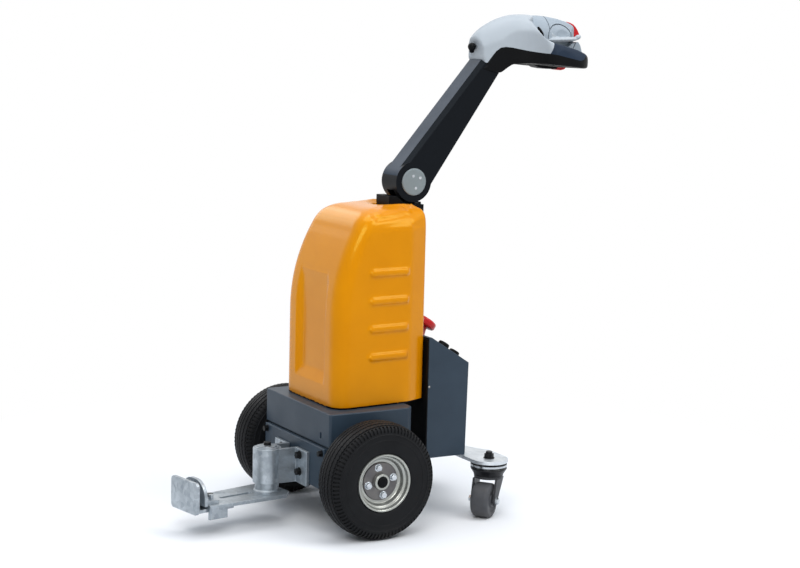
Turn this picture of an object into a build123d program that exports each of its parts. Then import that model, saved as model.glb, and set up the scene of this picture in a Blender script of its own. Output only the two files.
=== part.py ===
from build123d import *
import os
from math import cos, radians, sin, sqrt

# Walk-behind electric tow tug. The hitch points to -X, the operator walks at +X, the floor is z = 0.
# Lengths are millimetres. Sizes along X are measured from the wheel axle unless a name says otherwise.

# Wheels and axle
axle_x = -125.425               # wheel axle, from the middle of the overall length
tyre_radius = 130.0
tyre_width = 85.0
tyre_bulge_radius = 95.0
tyre_shoulder_in = 4.5
tyre_shoulder_drop = 12.0
tyre_crown_half_width = 28.0
rim_radius = 62.0
rim_width = 76.0
rim_wall = 5.0
rim_lip = 15.0
rim_step = 12.0
rim_dish = 17.0                # disc face, outboard of the wheel's middle plane
hub_radius = 18.0
hub_half_length = 30.0
hub_cap_radius = 11.6
hub_cap_length = 5.0
hub_cap_chamfer = 2.0
hub_cap_wall = 2.0
axle_radius = 10.0
running_clearance = 0.05
axle_end_gap = 0.5
tyre_gap = 15.3                # between the deck's side and the tyre

# Chassis
sheet = 5.0
deck_front = 86.0
deck_rear = 128.0
deck_half_width = 162.8
deck_rear_half_width = 145.0
deck_chamfer = 18.0
deck_top = 268.5
deck_skirt_bottom = 194.0
deck_bend_radius = 6.0
frame_half_width = 150.0
frame_bottom = 92.0
frame_corner = 9.0
axle_hole_clearance = 4.0
front_plate_thickness = 12.0
front_plate_bottom = 95.0
front_plate_top = 190.0
front_plate_corner = 22.0
bearing_radius = 30.0
bearing_width = 12.0
gearbox_radius = 55.0
gearbox_half_width = 85.0
motor_radius = 42.0
motor_half_width = 62.0
motor_offset = 58.0
motor_rise = 30.0
battery_length = 140.0
battery_width = 200.0
battery_height = 190.0
battery_front = 36.0

wheel_centre_y = deck_half_width + tyre_gap + tyre_width / 2

# Cover
cover_front = 57.0
cover_rear = 182.0
cover_front_half_width = 132.5
cover_side_end = 134.0
cover_side_end_half_width = 115.0
cover_rear_half_width = 95.0
cover_rear_corner = 12.0
cover_straight_height = 201.5
cover_shoulder_height = 391.5
cover_lean_radius = 385.0
cover_lean_steps = 5
cover_corner_radius = 34.0
cover_crown = (
    # rise above the shoulder, front setback, side inset, rear inset, corner radius, tilt in degrees
    (24.0, 65.0, 7.0, 0.5, 34.0, 0.8),
    (37.0, 83.0, 19.0, 3.0, 32.0, 1.8),
    (43.5, 100.0, 34.0, 9.0, 28.0, 2.8),
    (46.5, 125.0, 52.0, 22.0, 24.0, 3.5),
)
cover_rise = 6.5                # how much higher the top is at its rear than at its front
cover_wall = 4.0
recess_depth = 13.0
recess_half_width = 72.0
recess_bottom = 318.0
recess_height = 285.0
rib_count = 4
rib_first_height = 381.0
rib_pitch = 62.8
rib_front = 23.0
rib_length = 115.0
rib_height = 13.0
rib_proud = 5.0
opening_half_width = 38.0
opening_front = 112.0
opening_bottom = 668.0
scoop_depth = 13.0
scoop_half_width = 74.0
scoop_front = 66.0
scoop_slope = 55.0
scoop_corner = 30.0
opening_corner = 12.0
cut_past_rear = 40.0            # how far the scoop and the opening run out behind the cover

# Column and tiller bracket
column_width = 48.0
column_half_breadth = 28.0
column_wall = 4.0
bracket_front = 122.5
bracket_rear = 206.6
bracket_step_rear = 214.0
bracket_half_width = 30.0
bracket_bottom = 680.0
bracket_step_top = 709.6
bracket_top = 730.0
bracket_clearance = 5.5
tongue_half_width = 18.0
tongue_half_thickness = 10.0

# Tiller arm
pivot_x = 183.6
pivot_z = 761.7
pivot_pin_radius = 10.0
tiller_lean = 34.5             # degrees from upright towards the operator, as it stands
tiller_back = 34.0             # degrees of travel up to upright
tiller_down = 45.0             # degrees of travel down
arm_length = 330.0
arm_end_radius = 46.0
arm_front_end = 12.0
arm_rear = 41.0
arm_half_width = 34.0
arm_chamfer = 9.0
slot_clearance = 5.5
cap_radius = 31.0
cap_thickness = 3.5

# Tiller head, sizes from the middle of the arm's upper end, +X towards the operator
head_half_width = 133.0
head_neck_half_width = 33.5
head_nose = 243.0
head_depth = 60.0
neck_reach = 20.0
flare_start = 36.0
flare_half_width = 46.0
flare_setback = 3.0
nose_corner = 60.0
grip_start = 118.0
hood_height = 113.0
hood_crown_half_width = 24.0
hood_haunch = (72.0, 92.0)
hood_edge_height = 40.0
console_half_width = 46.0
finger_gap_front = 120.0
finger_gap_rear = 206.0
finger_gap_inner = 55.0
finger_gap_outer = 102.0
finger_gap_corner = 16.0
throttle_x = 192.5
throttle_z = 73.0
throttle_radius = 29.0
throttle_thickness = 13.0
throttle_lever = 50.0
throttle_lever_width = 12.0
throttle_drop = 9.0
belly_half_width = 26.0
trigger_half_width = 11.0

# Outlines of the head from the side, as points along and above
head_seam = [
    (0.0, 0.0),
    (30.0, 36.0),
    (60.0, 35.0),
    (97.0, 28.0),
    (grip_start, 24.0),
    (190.0, 10.0),
    (head_nose, 1.0),
]
head_underside = [
    (head_nose, -4.0),
    (222.0, -9.0),
    (188.0, -7.0),
    (100.0, 0.0),
    (63.0, -3.0),
    (45.0, -15.0),
    (34.0, -23.3),
]
hood_crown = [(grip_start, hood_height), (84.0, 109.0), (46.0, 98.0), (9.0, 74.0), (-15.0, 50.0)]
hood_throat = [(-15.0, 50.0), (-8.0, 26.0), (-11.0, 7.6), (0.0, 0.0)]
console_profile = [
    (258.0, 66.0),
    (258.0, 76.0),
    (234.0, 94.0),
    (181.0, 108.0),
    (158.0, 111.0),
    (grip_start, hood_height),
]
grip_profile = [(head_nose, 16.0), (214.0, 27.0), (grip_start, 47.0)]
belly_profile = [(258.0, 66.0), (265.0, 66.0), (265.0, 78.0), (237.0, 101.0), (234.0, 94.0), (258.0, 76.0)]
trigger_profile = [(188.0, -7.0), (222.0, -9.0), (228.0, -14.0), (218.0, -22.0), (196.0, -22.0)]

# Control box
box_front = 187.5
box_depth = 106.5
box_half_width = 112.0
box_bottom = 133.0
box_front_top = 409.5
box_rear_top = 345.0
box_flange = 9.5
box_sheet = 3.0
box_corner = 6.0
stop_x = 215.0
stop_steps = ((22.0, 14.0), (13.0, 20.0), (30.0, 14.0))     # radius and height: base, neck, head
key_x = 248.0
key_y = -80.0
key_steps = ((15.0, 3.0), (10.0, 13.0))
socket_x = 277.0
socket_steps = ((14.0, 3.0), (11.0, 9.0))

# Castor plate and castors
plate_thickness = 8.0
plate_stem_half_width = 76.0
plate_arm_rear = 372.0
castor_x = 328.0
castor_y = 163.0
castor_end_radius = 44.0
plate_notch_radius = 150.0
plate_notch_depth = 34.0
castor_wheel_radius = 40.0
castor_wheel_half_width = 21.0
castor_wheel_edge = 5.0
castor_swivel = 38.0           # degrees the castors stand turned, as in the picture
castor_trail = 26.0
castor_axle_radius = 6.0
castor_stem_radius = 7.5
castor_stem_head = 16.0
housing_radius = 42.0
housing_waist = 34.0
housing_rim_height = 13.0
housing_height = 29.0
housing_gap = 3.0
fork_gap = 3.5
fork_thickness = 5.0
fork_root_half = 24.0
fork_foot_half = 11.0
fork_crown_radius = 33.0

# Tow hitch, sizes in the hitch's own frame from its swivel pin, -X towards the jaw
pin_x = 159.0
hitch_turn = 9.9               # degrees the drawbar stands turned
hitch_pin_radius = 12.0
sleeve_radius = 32.0
sleeve_bottom = 90.0
sleeve_top = 169.0
strap_half_width = 28.0
strap_thickness = 8.0
flange_half_width = 81.0
boss_radius = 21.0
boss_height = 4.0
pin_head_radius = 8.5
pin_head_height = 8.0
collar_radius = 27.0
pin_gap = 0.5                  # between the sleeve's ends and the pin's collar and boss
drawbar_top = 70.7
drawbar_thickness = 8.0
drawbar_rear = 36.0
drawbar_rear_half_width = 59.5
drawbar_nose_half_width = 46.5
drawbar_chamfer = 24.0
drawbar_length = 196.0
slot_start = 42.0
slot_end = 126.0
slot_half_width = 6.0
flap_start = 150.0
flap_end = 196.0
flap_drop = 24.0
jaw_length = 220.0
jaw_half_width = 52.0
jaw_top = 126.0
jaw_plate = 8.0
jaw_gap = 26.0
jaw_corner = 10.0
jaw_round = 40.0
jaw_foot = 34.0
jaw_bolt_radius = 6.0
jaw_bolt_height = 18.0
jaw_bolt_half_spacing = 22.0
jaw_bolt_setback = 12.0
jaw_foot_margin = 10.0
jaw_side_gap = 0.5

os.makedirs("parts", exist_ok=True)


def save(piece, label):
    piece.part.label = label
    export_step(piece.part, f"parts/{label}.step")


def from_axle(distance):
    return axle_x + distance


sides = (("left", 1), ("right", -1))


# Wheels: a tyre, a dished steel rim and a hub on each side of the axle
for side, sign in sides:
    wheel_centre = (axle_x, sign * wheel_centre_y, tyre_radius)
    wheel_plane = Plane(origin=wheel_centre, x_dir=(0, sign, 0), z_dir=(1, 0, 0))
    wheel_axis = Axis((axle_x, 0, tyre_radius), (0, 1, 0))
    half_width = tyre_width / 2
    half_rim = rim_width / 2
    bead = half_rim - rim_wall

    with BuildPart() as tyre:
        with BuildSketch(wheel_plane):
            with BuildLine():
                Polyline(
                    (-bead, rim_radius),
                    (bead, rim_radius),
                    (half_width, tyre_bulge_radius),
                    (half_width - tyre_shoulder_in, tyre_radius - tyre_shoulder_drop),
                    (tyre_crown_half_width, tyre_radius),
                    (-tyre_crown_half_width, tyre_radius),
                    (tyre_shoulder_in - half_width, tyre_radius - tyre_shoulder_drop),
                    (-half_width, tyre_bulge_radius),
                    close=True,
                )
            make_face()
        revolve(axis=wheel_axis)
    save(tyre, f"tyre_{side}")

    with BuildPart() as rim:
        with BuildSketch(wheel_plane):
            with BuildLine():
                Polyline(
                    (-half_rim, rim_radius),
                    (half_rim, rim_radius),
                    (half_rim, rim_radius - rim_wall),
                    (half_rim - rim_lip, rim_radius - rim_step),
                    (rim_dish, rim_radius - rim_step - rim_wall),
                    (rim_dish, hub_radius),
                    (rim_dish - rim_wall, hub_radius),
                    (rim_dish - rim_wall, rim_radius - rim_step),
                    (-half_rim, rim_radius - rim_wall),
                    close=True,
                )
            make_face()
        revolve(axis=wheel_axis)
    save(rim, f"rim_{side}")

    with BuildPart() as hub:
        with BuildSketch(wheel_plane):
            bore = axle_radius + running_clearance
            cap_inside = hub_half_length - hub_cap_wall
            with BuildLine():
                Polyline(
                    (-hub_half_length, bore),
                    (-hub_half_length, hub_radius),
                    (hub_half_length, hub_radius),
                    (hub_half_length, hub_cap_radius),
                    (hub_half_length + hub_cap_length, hub_cap_radius - hub_cap_chamfer),
                    (hub_half_length + hub_cap_length, 0),
                    (cap_inside, 0),
                    (cap_inside, bore),
                    close=True,
                )
            make_face()
        revolve(axis=wheel_axis)
    save(hub, f"hub_{side}")

# Axle shaft, its two bearings and the gearbox with its motor
axle_half_length = wheel_centre_y + hub_half_length - hub_cap_wall - axle_end_gap
with BuildPart() as axle:
    with BuildSketch(Plane.XZ.offset(-axle_half_length)):
        with Locations((axle_x, tyre_radius)):
            Circle(axle_radius)
    extrude(amount=2 * axle_half_length)
save(axle, "axle")

with BuildPart() as bearings:
    for sign in (1, -1):
        with BuildSketch(Plane(origin=(axle_x, sign * frame_half_width, tyre_radius), z_dir=(0, sign, 0))):
            Circle(bearing_radius)
            Circle(axle_radius, mode=Mode.SUBTRACT)
        extrude(amount=bearing_width)
save(bearings, "axle_bearings")

with BuildPart() as gearbox:
    with BuildSketch(Plane.XZ.offset(-gearbox_half_width)):
        with Locations((axle_x, tyre_radius)):
            Circle(gearbox_radius)
    extrude(amount=2 * gearbox_half_width)
    with BuildSketch(Plane.XZ.offset(-motor_half_width)):
        with Locations((from_axle(motor_offset), tyre_radius + motor_rise)):
            Circle(motor_radius)
    extrude(amount=2 * motor_half_width)
    with BuildSketch(Plane.XZ.offset(-gearbox_half_width)):
        with Locations((axle_x, tyre_radius)):
            Circle(axle_radius)
    extrude(amount=2 * gearbox_half_width, mode=Mode.SUBTRACT)
save(gearbox, "drive_unit")

# Deck: a folded tray with its skirt down, its rear corners cut off
with BuildPart() as deck:
    with BuildSketch(Plane.XY.offset(deck_skirt_bottom)) as deck_outline:
        with BuildLine():
            Polyline(
                (from_axle(-deck_front), deck_half_width),
                (from_axle(deck_rear - deck_chamfer), deck_half_width),
                (from_axle(deck_rear), deck_rear_half_width),
                (from_axle(deck_rear), -deck_rear_half_width),
                (from_axle(deck_rear - deck_chamfer), -deck_half_width),
                (from_axle(-deck_front), -deck_half_width),
                close=True,
            )
        make_face()
    extrude(amount=deck_top - deck_skirt_bottom)
    with BuildSketch(Plane.XY.offset(deck_skirt_bottom)):
        offset(deck_outline.sketch, amount=-sheet, kind=Kind.INTERSECTION)
    extrude(amount=deck_top - deck_skirt_bottom - sheet, mode=Mode.SUBTRACT)
    front_corners = deck.edges().filter_by(Axis.Z).group_by(Axis.X)[0]
    fillet(front_corners, deck_bend_radius)
save(deck, "deck")

# Frame: four welded plates under the deck, open below, with the axle through its sides
frame_front = from_axle(sheet - deck_front)
frame_rear = from_axle(deck_rear - sheet)
frame_top = deck_top - sheet
with BuildPart() as frame:
    with BuildSketch(Plane.XY.offset(frame_bottom)):
        for wall in (0, sheet):
            with BuildLine():
                Polyline(
                    (frame_front + wall, frame_half_width - wall),
                    (frame_rear - frame_corner, frame_half_width - wall),
                    (frame_rear - wall, frame_half_width - frame_corner),
                    (frame_rear - wall, frame_corner - frame_half_width),
                    (frame_rear - frame_corner, wall - frame_half_width),
                    (frame_front + wall, wall - frame_half_width),
                    close=True,
                )
            make_face(mode=Mode.SUBTRACT if wall else Mode.ADD)
    extrude(amount=frame_top - frame_bottom)
    with BuildSketch(Plane.XZ.offset(-frame_half_width)):
        with Locations((axle_x, tyre_radius)):
            Circle(axle_radius + axle_hole_clearance)
    extrude(amount=2 * frame_half_width, mode=Mode.SUBTRACT)
save(frame, "frame")

# Front plate: the thick plate that takes the pull of the hitch
front_plate_face = frame_front - front_plate_thickness
with BuildPart() as front_plate:
    with BuildSketch(Plane(origin=(frame_front, 0, 0), x_dir=(0, 1, 0), z_dir=(1, 0, 0))):
        with Locations((0, (front_plate_bottom + front_plate_top) / 2)):
            Rectangle(2 * frame_half_width, front_plate_top - front_plate_bottom)
    extrude(amount=-front_plate_thickness)
    low_corners = front_plate.edges().filter_by(Axis.X).group_by(Axis.Z)[0]
    chamfer(low_corners, front_plate_corner)
save(front_plate, "front_plate")

# Traction battery, one plain block on the deck under the cover
with BuildPart() as battery:
    with BuildSketch(Plane.XY.offset(deck_top)):
        with Locations((from_axle(battery_length / 2 - battery_front), 0)):
            Rectangle(battery_length, battery_width)
    extrude(amount=battery_height)
save(battery, "battery")

# Cover: a moulded hood, its brow leaning back, with side ribs, a front recess and a scoop for the bracket
cover_top = deck_top + cover_shoulder_height + cover_crown[-1][0] + cover_rise
side_slope = (cover_front_half_width - cover_side_end_half_width) / (cover_side_end + cover_front)


def cover_section(height, setback, side_inset, rear_inset, corner, tilt):
    lean = radians(tilt)
    origin = (from_axle(setback - cover_front), 0, height)
    half = cover_front_half_width - side_slope * setback
    along = (cos(lean), 0, sin(lean))
    up = (-sin(lean), 0, cos(lean))
    with BuildSketch(Plane(origin=origin, x_dir=along, z_dir=up)) as ring:
        with BuildLine():
            front_corner = (0, half - side_inset)
            side_end = (cover_side_end + cover_front - setback, cover_side_end_half_width - side_inset)
            rear_reach = cover_rear + cover_front - setback - rear_inset
            rear_corner = (rear_reach, cover_rear_half_width - side_inset)
            Polyline(
                front_corner,
                side_end,
                rear_corner,
                (rear_corner[0], -rear_corner[1]),
                (side_end[0], -side_end[1]),
                (0, -front_corner[1]),
                close=True,
            )
        make_face()
        fillet(ring.vertices().group_by(Axis.X)[0], corner)
        fillet(ring.vertices().group_by(Axis.X)[-1], cover_rear_corner)
    return ring.sketch


def cover_body(wall):
    rows = [(0, 0, 0, 0, cover_corner_radius, 0)]
    lean_height = cover_shoulder_height - cover_straight_height
    for step in range(cover_lean_steps + 1):
        rise = lean_height * step / cover_lean_steps
        setback = cover_lean_radius - sqrt(cover_lean_radius**2 - rise**2)
        rows.append((cover_straight_height + rise, setback, 0, 0, cover_corner_radius, 0))
    for rise, setback, side_inset, rear_inset, corner, tilt in cover_crown:
        rows.append((cover_shoulder_height + rise, setback, side_inset, rear_inset, corner, tilt))
    with BuildPart() as body:
        for height, setback, side_inset, rear_inset, corner, tilt in rows:
            add(
                cover_section(
                    deck_top + height - wall,
                    setback + wall,
                    side_inset + wall,
                    rear_inset + wall,
                    corner - wall,
                    tilt,
                )
            )
        loft(ruled=True)
    return body.part


def recess(grow):
    with BuildPart() as pocket:
        centre = (from_axle(-cover_front), 0, recess_bottom + recess_height / 2)
        with BuildSketch(Plane(origin=centre, x_dir=(0, 1, 0), z_dir=(1, 0, 0))):
            Rectangle(2 * (recess_half_width + grow), recess_height + 2 * grow)
        extrude(amount=recess_depth + grow, taper=45)
    return pocket.part


def scoop(grow):
    length = cover_rear + cut_past_rear - scoop_front
    with BuildPart() as dish:
        centre = (from_axle(scoop_front + length / 2), 0, cover_top)
        with BuildSketch(Plane(origin=centre)):
            RectangleRounded(length + 2 * grow, 2 * (scoop_half_width + grow), scoop_corner)
        extrude(amount=-scoop_depth - grow, taper=scoop_slope)
    return dish.part


with BuildPart() as cover:
    add(cover_body(0))
    for sign in (1, -1):
        rib_y = cover_front_half_width - side_slope * (rib_front + cover_front)
        for row in range(rib_count):
            along = Vector(1, -sign * side_slope, 0).normalized()
            start = (from_axle(rib_front), sign * rib_y, rib_first_height + row * rib_pitch)
            with BuildSketch(Plane(origin=start, x_dir=along, z_dir=(side_slope, sign, 0))):
                with BuildLine():
                    Polyline(
                        (0, 0),
                        (rib_height, rib_height / 2),
                        (rib_length, rib_height / 2),
                        (rib_length, -rib_height / 2),
                        (rib_height, -rib_height / 2),
                        close=True,
                    )
                make_face()
            extrude(amount=rib_proud, taper=38)
    add(recess(0), mode=Mode.SUBTRACT)
    add(scoop(0), mode=Mode.SUBTRACT)
    with BuildPart(mode=Mode.PRIVATE) as hollow:
        add(cover_body(cover_wall))
        add(recess(cover_wall), mode=Mode.SUBTRACT)
        add(scoop(cover_wall), mode=Mode.SUBTRACT)
    add(hollow.part, mode=Mode.SUBTRACT)
    opening_length = cover_rear + cut_past_rear - opening_front
    with BuildSketch(Plane.XY.offset(opening_bottom)):
        with Locations((from_axle(opening_front + opening_length / 2), 0)):
            RectangleRounded(opening_length, 2 * opening_half_width, opening_corner)
    extrude(amount=cover_top - opening_bottom, mode=Mode.SUBTRACT)
save(cover, "cover")

# Column: a square tube behind the frame that carries the tiller
with BuildPart() as column:
    with BuildSketch(Plane.XY.offset(box_bottom)):
        with Locations((from_axle(deck_rear + column_width / 2), 0)):
            Rectangle(column_width, 2 * column_half_breadth)
            bore_half_breadth = column_half_breadth - column_wall
            Rectangle(column_width - 2 * column_wall, 2 * bore_half_breadth, mode=Mode.SUBTRACT)
    extrude(amount=bracket_bottom - box_bottom)
save(column, "column")

# Tiller bracket: a stepped block with a cradle for the arm's round end and a tongue for the pivot pin
pivot = (from_axle(pivot_x), pivot_z)
with BuildPart() as bracket:
    with BuildSketch(Plane.XZ.offset(-bracket_half_width)):
        with BuildLine():
            Polyline(
                (from_axle(bracket_front), bracket_bottom),
                (from_axle(bracket_step_rear), bracket_bottom),
                (from_axle(bracket_step_rear), bracket_step_top),
                (from_axle(bracket_rear), bracket_step_top),
                (from_axle(bracket_rear), bracket_top),
                (from_axle(bracket_front), bracket_top),
                close=True,
            )
        make_face()
        with Locations(pivot):
            Circle(arm_end_radius + bracket_clearance, mode=Mode.SUBTRACT)
    extrude(amount=2 * bracket_half_width)
    with BuildSketch(Plane.XZ.offset(-tongue_half_thickness)):
        with Locations((pivot[0], (bracket_bottom + pivot_z) / 2)):
            Rectangle(2 * tongue_half_width, pivot_z - bracket_bottom)
        with Locations(pivot):
            Circle(tongue_half_width)
            Circle(pivot_pin_radius, mode=Mode.SUBTRACT)
    extrude(amount=2 * tongue_half_thickness)
save(bracket, "tiller_bracket")

with BuildPart() as pivot_pin:
    with BuildSketch(Plane.XZ.offset(0.5 - arm_half_width)):
        with Locations(pivot):
            Circle(pivot_pin_radius)
    extrude(amount=2 * arm_half_width - 1)
save(pivot_pin, "pivot_pin")

# Tiller arm: a tapering moulding with a round lower end that forks over the tongue
lean = radians(tiller_lean)


def on_arm(along, across):
    x = pivot[0] + along * sin(lean) + across * cos(lean)
    z = pivot[1] + along * cos(lean) - across * sin(lean)
    return (x, z)


slot_half = tongue_half_thickness + slot_clearance
slot_reach = 2 * arm_end_radius
slot_side = tongue_half_width + slot_clearance


def beside_tongue(angle, side, reach):
    x = side * slot_side * cos(angle) + side * reach * sin(angle)
    z = slot_side * sin(angle) - reach * cos(angle)
    return (pivot[0] + x, pivot[1] + z)


with BuildPart() as arm:
    with BuildSketch(Plane.XZ.offset(-arm_half_width)):
        with BuildLine():
            Polyline(
                on_arm(0, -arm_end_radius),
                on_arm(arm_length, -arm_front_end),
                on_arm(arm_length, arm_rear),
                on_arm(0, arm_rear),
                close=True,
            )
        make_face()
    extrude(amount=2 * arm_half_width)
    front_low = on_arm(0, -arm_end_radius)
    front_high = on_arm(arm_length, -arm_front_end)
    front_line = Axis((0, 0, 0), (front_high[0] - front_low[0], 0, front_high[1] - front_low[1]))
    front_edges = arm.edges().filter_by(front_line, tolerance=0.5)
    chamfer(front_edges, arm_chamfer)
    with BuildSketch(Plane.XZ.offset(-arm_half_width)):
        with Locations(pivot):
            Circle(arm_end_radius)
    extrude(amount=2 * arm_half_width)
    with BuildSketch(Plane.XZ.offset(-slot_half)):
        with BuildLine():
            Polyline(
                beside_tongue(radians(tiller_back), -1, 0),
                beside_tongue(radians(tiller_back), -1, slot_reach),
                beside_tongue(radians(tiller_down), 1, slot_reach),
                beside_tongue(radians(tiller_down), 1, 0),
                close=True,
            )
        make_face()
        with Locations(pivot):
            Circle(slot_side)
    extrude(amount=2 * slot_half, mode=Mode.SUBTRACT)
    with BuildSketch(Plane.XZ.offset(-arm_half_width)):
        with Locations(pivot):
            Circle(pivot_pin_radius + running_clearance)
    extrude(amount=2 * arm_half_width, mode=Mode.SUBTRACT)
save(arm, "tiller_arm")

with BuildPart() as caps:
    for sign in (1, -1):
        with BuildSketch(Plane(origin=(pivot[0], sign * arm_half_width, pivot[1]), z_dir=(0, sign, 0))):
            Circle(cap_radius)
        extrude(amount=cap_thickness)
save(caps, "pivot_caps")

# Tiller head: a light hood over a black lower shell that closes into a loop with a grip on each side
head = on_arm(arm_length, 0)


def at_head(points):
    return [(head[0] + x, head[1] + z) for x, z in points]


head_height = head_depth + hood_height


def head_plan():
    low = head[1] - head_depth
    with BuildPart() as block:
        with BuildSketch(Plane.XY.offset(low)):
            with BuildLine():
                start = (head[0] - neck_reach, head_neck_half_width)
                flare = (head[0] + flare_start, flare_half_width)
                wide = (head[0] + grip_start, head_half_width - flare_setback)
                side_end = (head[0] + head_nose - nose_corner, head_half_width)
                nose = (head[0] + head_nose, head_half_width - nose_corner)
                bulge = nose_corner * (1 - sqrt(0.5))
                Line(start, flare)
                TangentArc(wide, flare, tangent=(Vector(wide) - Vector(side_end)))
                Line(wide, side_end)
                ThreePointArc(side_end, (head[0] + head_nose - bulge, head_half_width - bulge), nose)
                Line(nose, (head[0] + head_nose, 0))
                Line(start, (start[0], 0))
                mirror(about=Plane.XZ)
            make_face()
        extrude(amount=head_height)
        with BuildSketch(Plane.XY.offset(low)):
            gap_length = finger_gap_rear - finger_gap_front
            gap_width = finger_gap_outer - finger_gap_inner
            for sign in (1, -1):
                gap_y = sign * (finger_gap_inner + finger_gap_outer) / 2
                with Locations((head[0] + (finger_gap_front + finger_gap_rear) / 2, gap_y)):
                    RectangleRounded(gap_length, gap_width, finger_gap_corner)
        extrude(amount=head_height, mode=Mode.SUBTRACT)
    return block.part


def side_slice(points, half):
    with BuildPart() as piece:
        with BuildSketch(Plane.XZ.offset(-half)):
            with BuildLine():
                Polyline(*at_head(points), close=True)
            make_face()
        extrude(amount=2 * half)
    return piece.part


with BuildPart() as lower_shell:
    add(side_slice(head_seam + head_underside, head_half_width))
    add(head_plan(), mode=Mode.INTERSECT)
save(lower_shell, "head_lower_shell")

hood_seam = [point for point in head_seam if point[0] <= grip_start]
rear_seam = [point for point in head_seam if point[0] >= grip_start]
with BuildPart() as hood:
    with BuildSketch(Plane.XZ.offset(-head_half_width)):
        with BuildLine():
            Polyline(*at_head(hood_seam + hood_crown[:1]))
            Spline(*at_head(hood_crown))
            Polyline(*at_head(hood_throat))
        make_face()
    extrude(amount=2 * head_half_width)
    with BuildSketch(Plane(origin=(head[0] - neck_reach, 0, head[1]), x_dir=(0, 1, 0), z_dir=(1, 0, 0))):
        with BuildLine():
            edge = (head_half_width, hood_edge_height)
            crown = (hood_crown_half_width, hood_height)
            Line((0, hood_height), crown)
            ThreePointArc(crown, hood_haunch, edge)
            Line(edge, (edge[0], -head_depth))
            Line((edge[0], -head_depth), (0, -head_depth))
            mirror(about=Plane.YZ)
        make_face()
    extrude(amount=neck_reach + grip_start, mode=Mode.INTERSECT)
    add(head_plan(), mode=Mode.INTERSECT)
save(hood, "head_hood")

with BuildPart() as console:
    add(side_slice(rear_seam + console_profile, console_half_width))
save(console, "console")

for side, sign in sides:
    with BuildPart() as grip:
        add(side_slice(rear_seam + grip_profile, head_half_width))
        add(head_plan(), mode=Mode.INTERSECT)
        with BuildSketch(Plane.XY.offset(head[1] - head_depth)):
            grip_width = head_half_width - console_half_width
            with Locations((head[0] + head_nose / 2, sign * (console_half_width + grip_width / 2))):
                Rectangle(head_nose, grip_width)
        extrude(amount=head_height, mode=Mode.INTERSECT)
    save(grip, f"grip_{side}")

with BuildPart() as throttles:
    for sign in (1, -1):
        centre = (head[0] + throttle_x, sign * console_half_width, head[1] + throttle_z)
        with BuildSketch(Plane(origin=centre, x_dir=(1, 0, 0), z_dir=(0, sign, 0))):
            Circle(throttle_radius)
            with Locations((throttle_lever / 2, -sign * throttle_drop)):
                Rectangle(throttle_lever, throttle_lever_width)
        extrude(amount=throttle_thickness)
save(throttles, "throttle_levers")

with BuildPart() as belly_button:
    add(side_slice(belly_profile, belly_half_width))
save(belly_button, "belly_button")

with BuildPart() as trigger:
    add(side_slice(trigger_profile, trigger_half_width))
save(trigger, "trigger")

# Control box: folded sheet, open to the front and closed there by a panel, with a sloped control face
box_rear = box_front + box_depth
slope_start = box_front + box_flange
box_slope = (box_front_top - box_rear_top) / (box_rear - slope_start)
with BuildPart() as control_box:
    with BuildSketch(Plane.XZ.offset(-box_half_width)):
        with BuildLine():
            Polyline(
                (from_axle(box_front + box_sheet), box_bottom),
                (from_axle(box_rear), box_bottom),
                (from_axle(box_rear), box_rear_top),
                (from_axle(slope_start), box_front_top),
                (from_axle(box_front + box_sheet), box_front_top),
                close=True,
            )
        make_face()
    extrude(amount=2 * box_half_width)
    front_face = control_box.faces().sort_by(Axis.X)[0]
    offset(amount=-box_sheet, openings=front_face)
save(control_box, "control_box")

with BuildPart() as box_panel:
    with BuildSketch(Plane(origin=(from_axle(box_front), 0, 0), x_dir=(0, 1, 0), z_dir=(1, 0, 0))):
        with Locations((0, (box_bottom + box_front_top) / 2)):
            Rectangle(2 * box_half_width, box_front_top - box_bottom)
    extrude(amount=box_sheet)
save(box_panel, "box_panel")


def on_slope(x, y):
    z = box_front_top - box_slope * (x - slope_start)
    return Plane(origin=(from_axle(x), y, z), x_dir=(0, 1, 0), z_dir=(box_slope, 0, 1))


for label, x, y, steps in (
    ("stop_button", stop_x, 0, stop_steps),
    ("key_switch", key_x, key_y, key_steps),
    ("charge_socket", socket_x, key_y, socket_steps),
):
    base = 0
    with BuildPart() as control:
        for radius, step_height in steps:
            with BuildSketch(on_slope(x, y).offset(base)):
                Circle(radius)
            extrude(amount=step_height)
            base += step_height
    save(control, label)

# Castor plate: a flat anchor-shaped plate under the box with a round ear for each castor
plate_arm_front = castor_x - castor_end_radius
with BuildPart() as castor_plate:
    with BuildSketch(Plane.XY.offset(box_bottom - plate_thickness)):
        stem_length = castor_x - deck_rear
        with Locations((from_axle(deck_rear + stem_length / 2), 0)):
            Rectangle(stem_length, 2 * plate_stem_half_width)
        with Locations((from_axle(castor_x), 0)):
            Rectangle(2 * castor_end_radius, 2 * castor_y)
        with Locations((from_axle(castor_x), castor_y), (from_axle(castor_x), -castor_y)):
            Circle(castor_end_radius)
        with Locations((from_axle(castor_x + castor_end_radius + plate_notch_radius - plate_notch_depth), 0)):
            Circle(plate_notch_radius, mode=Mode.SUBTRACT)
        with Locations((from_axle(castor_x), castor_y), (from_axle(castor_x), -castor_y)):
            Circle(castor_stem_radius + running_clearance, mode=Mode.SUBTRACT)
    extrude(amount=plate_thickness)
save(castor_plate, "castor_plate")

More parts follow.
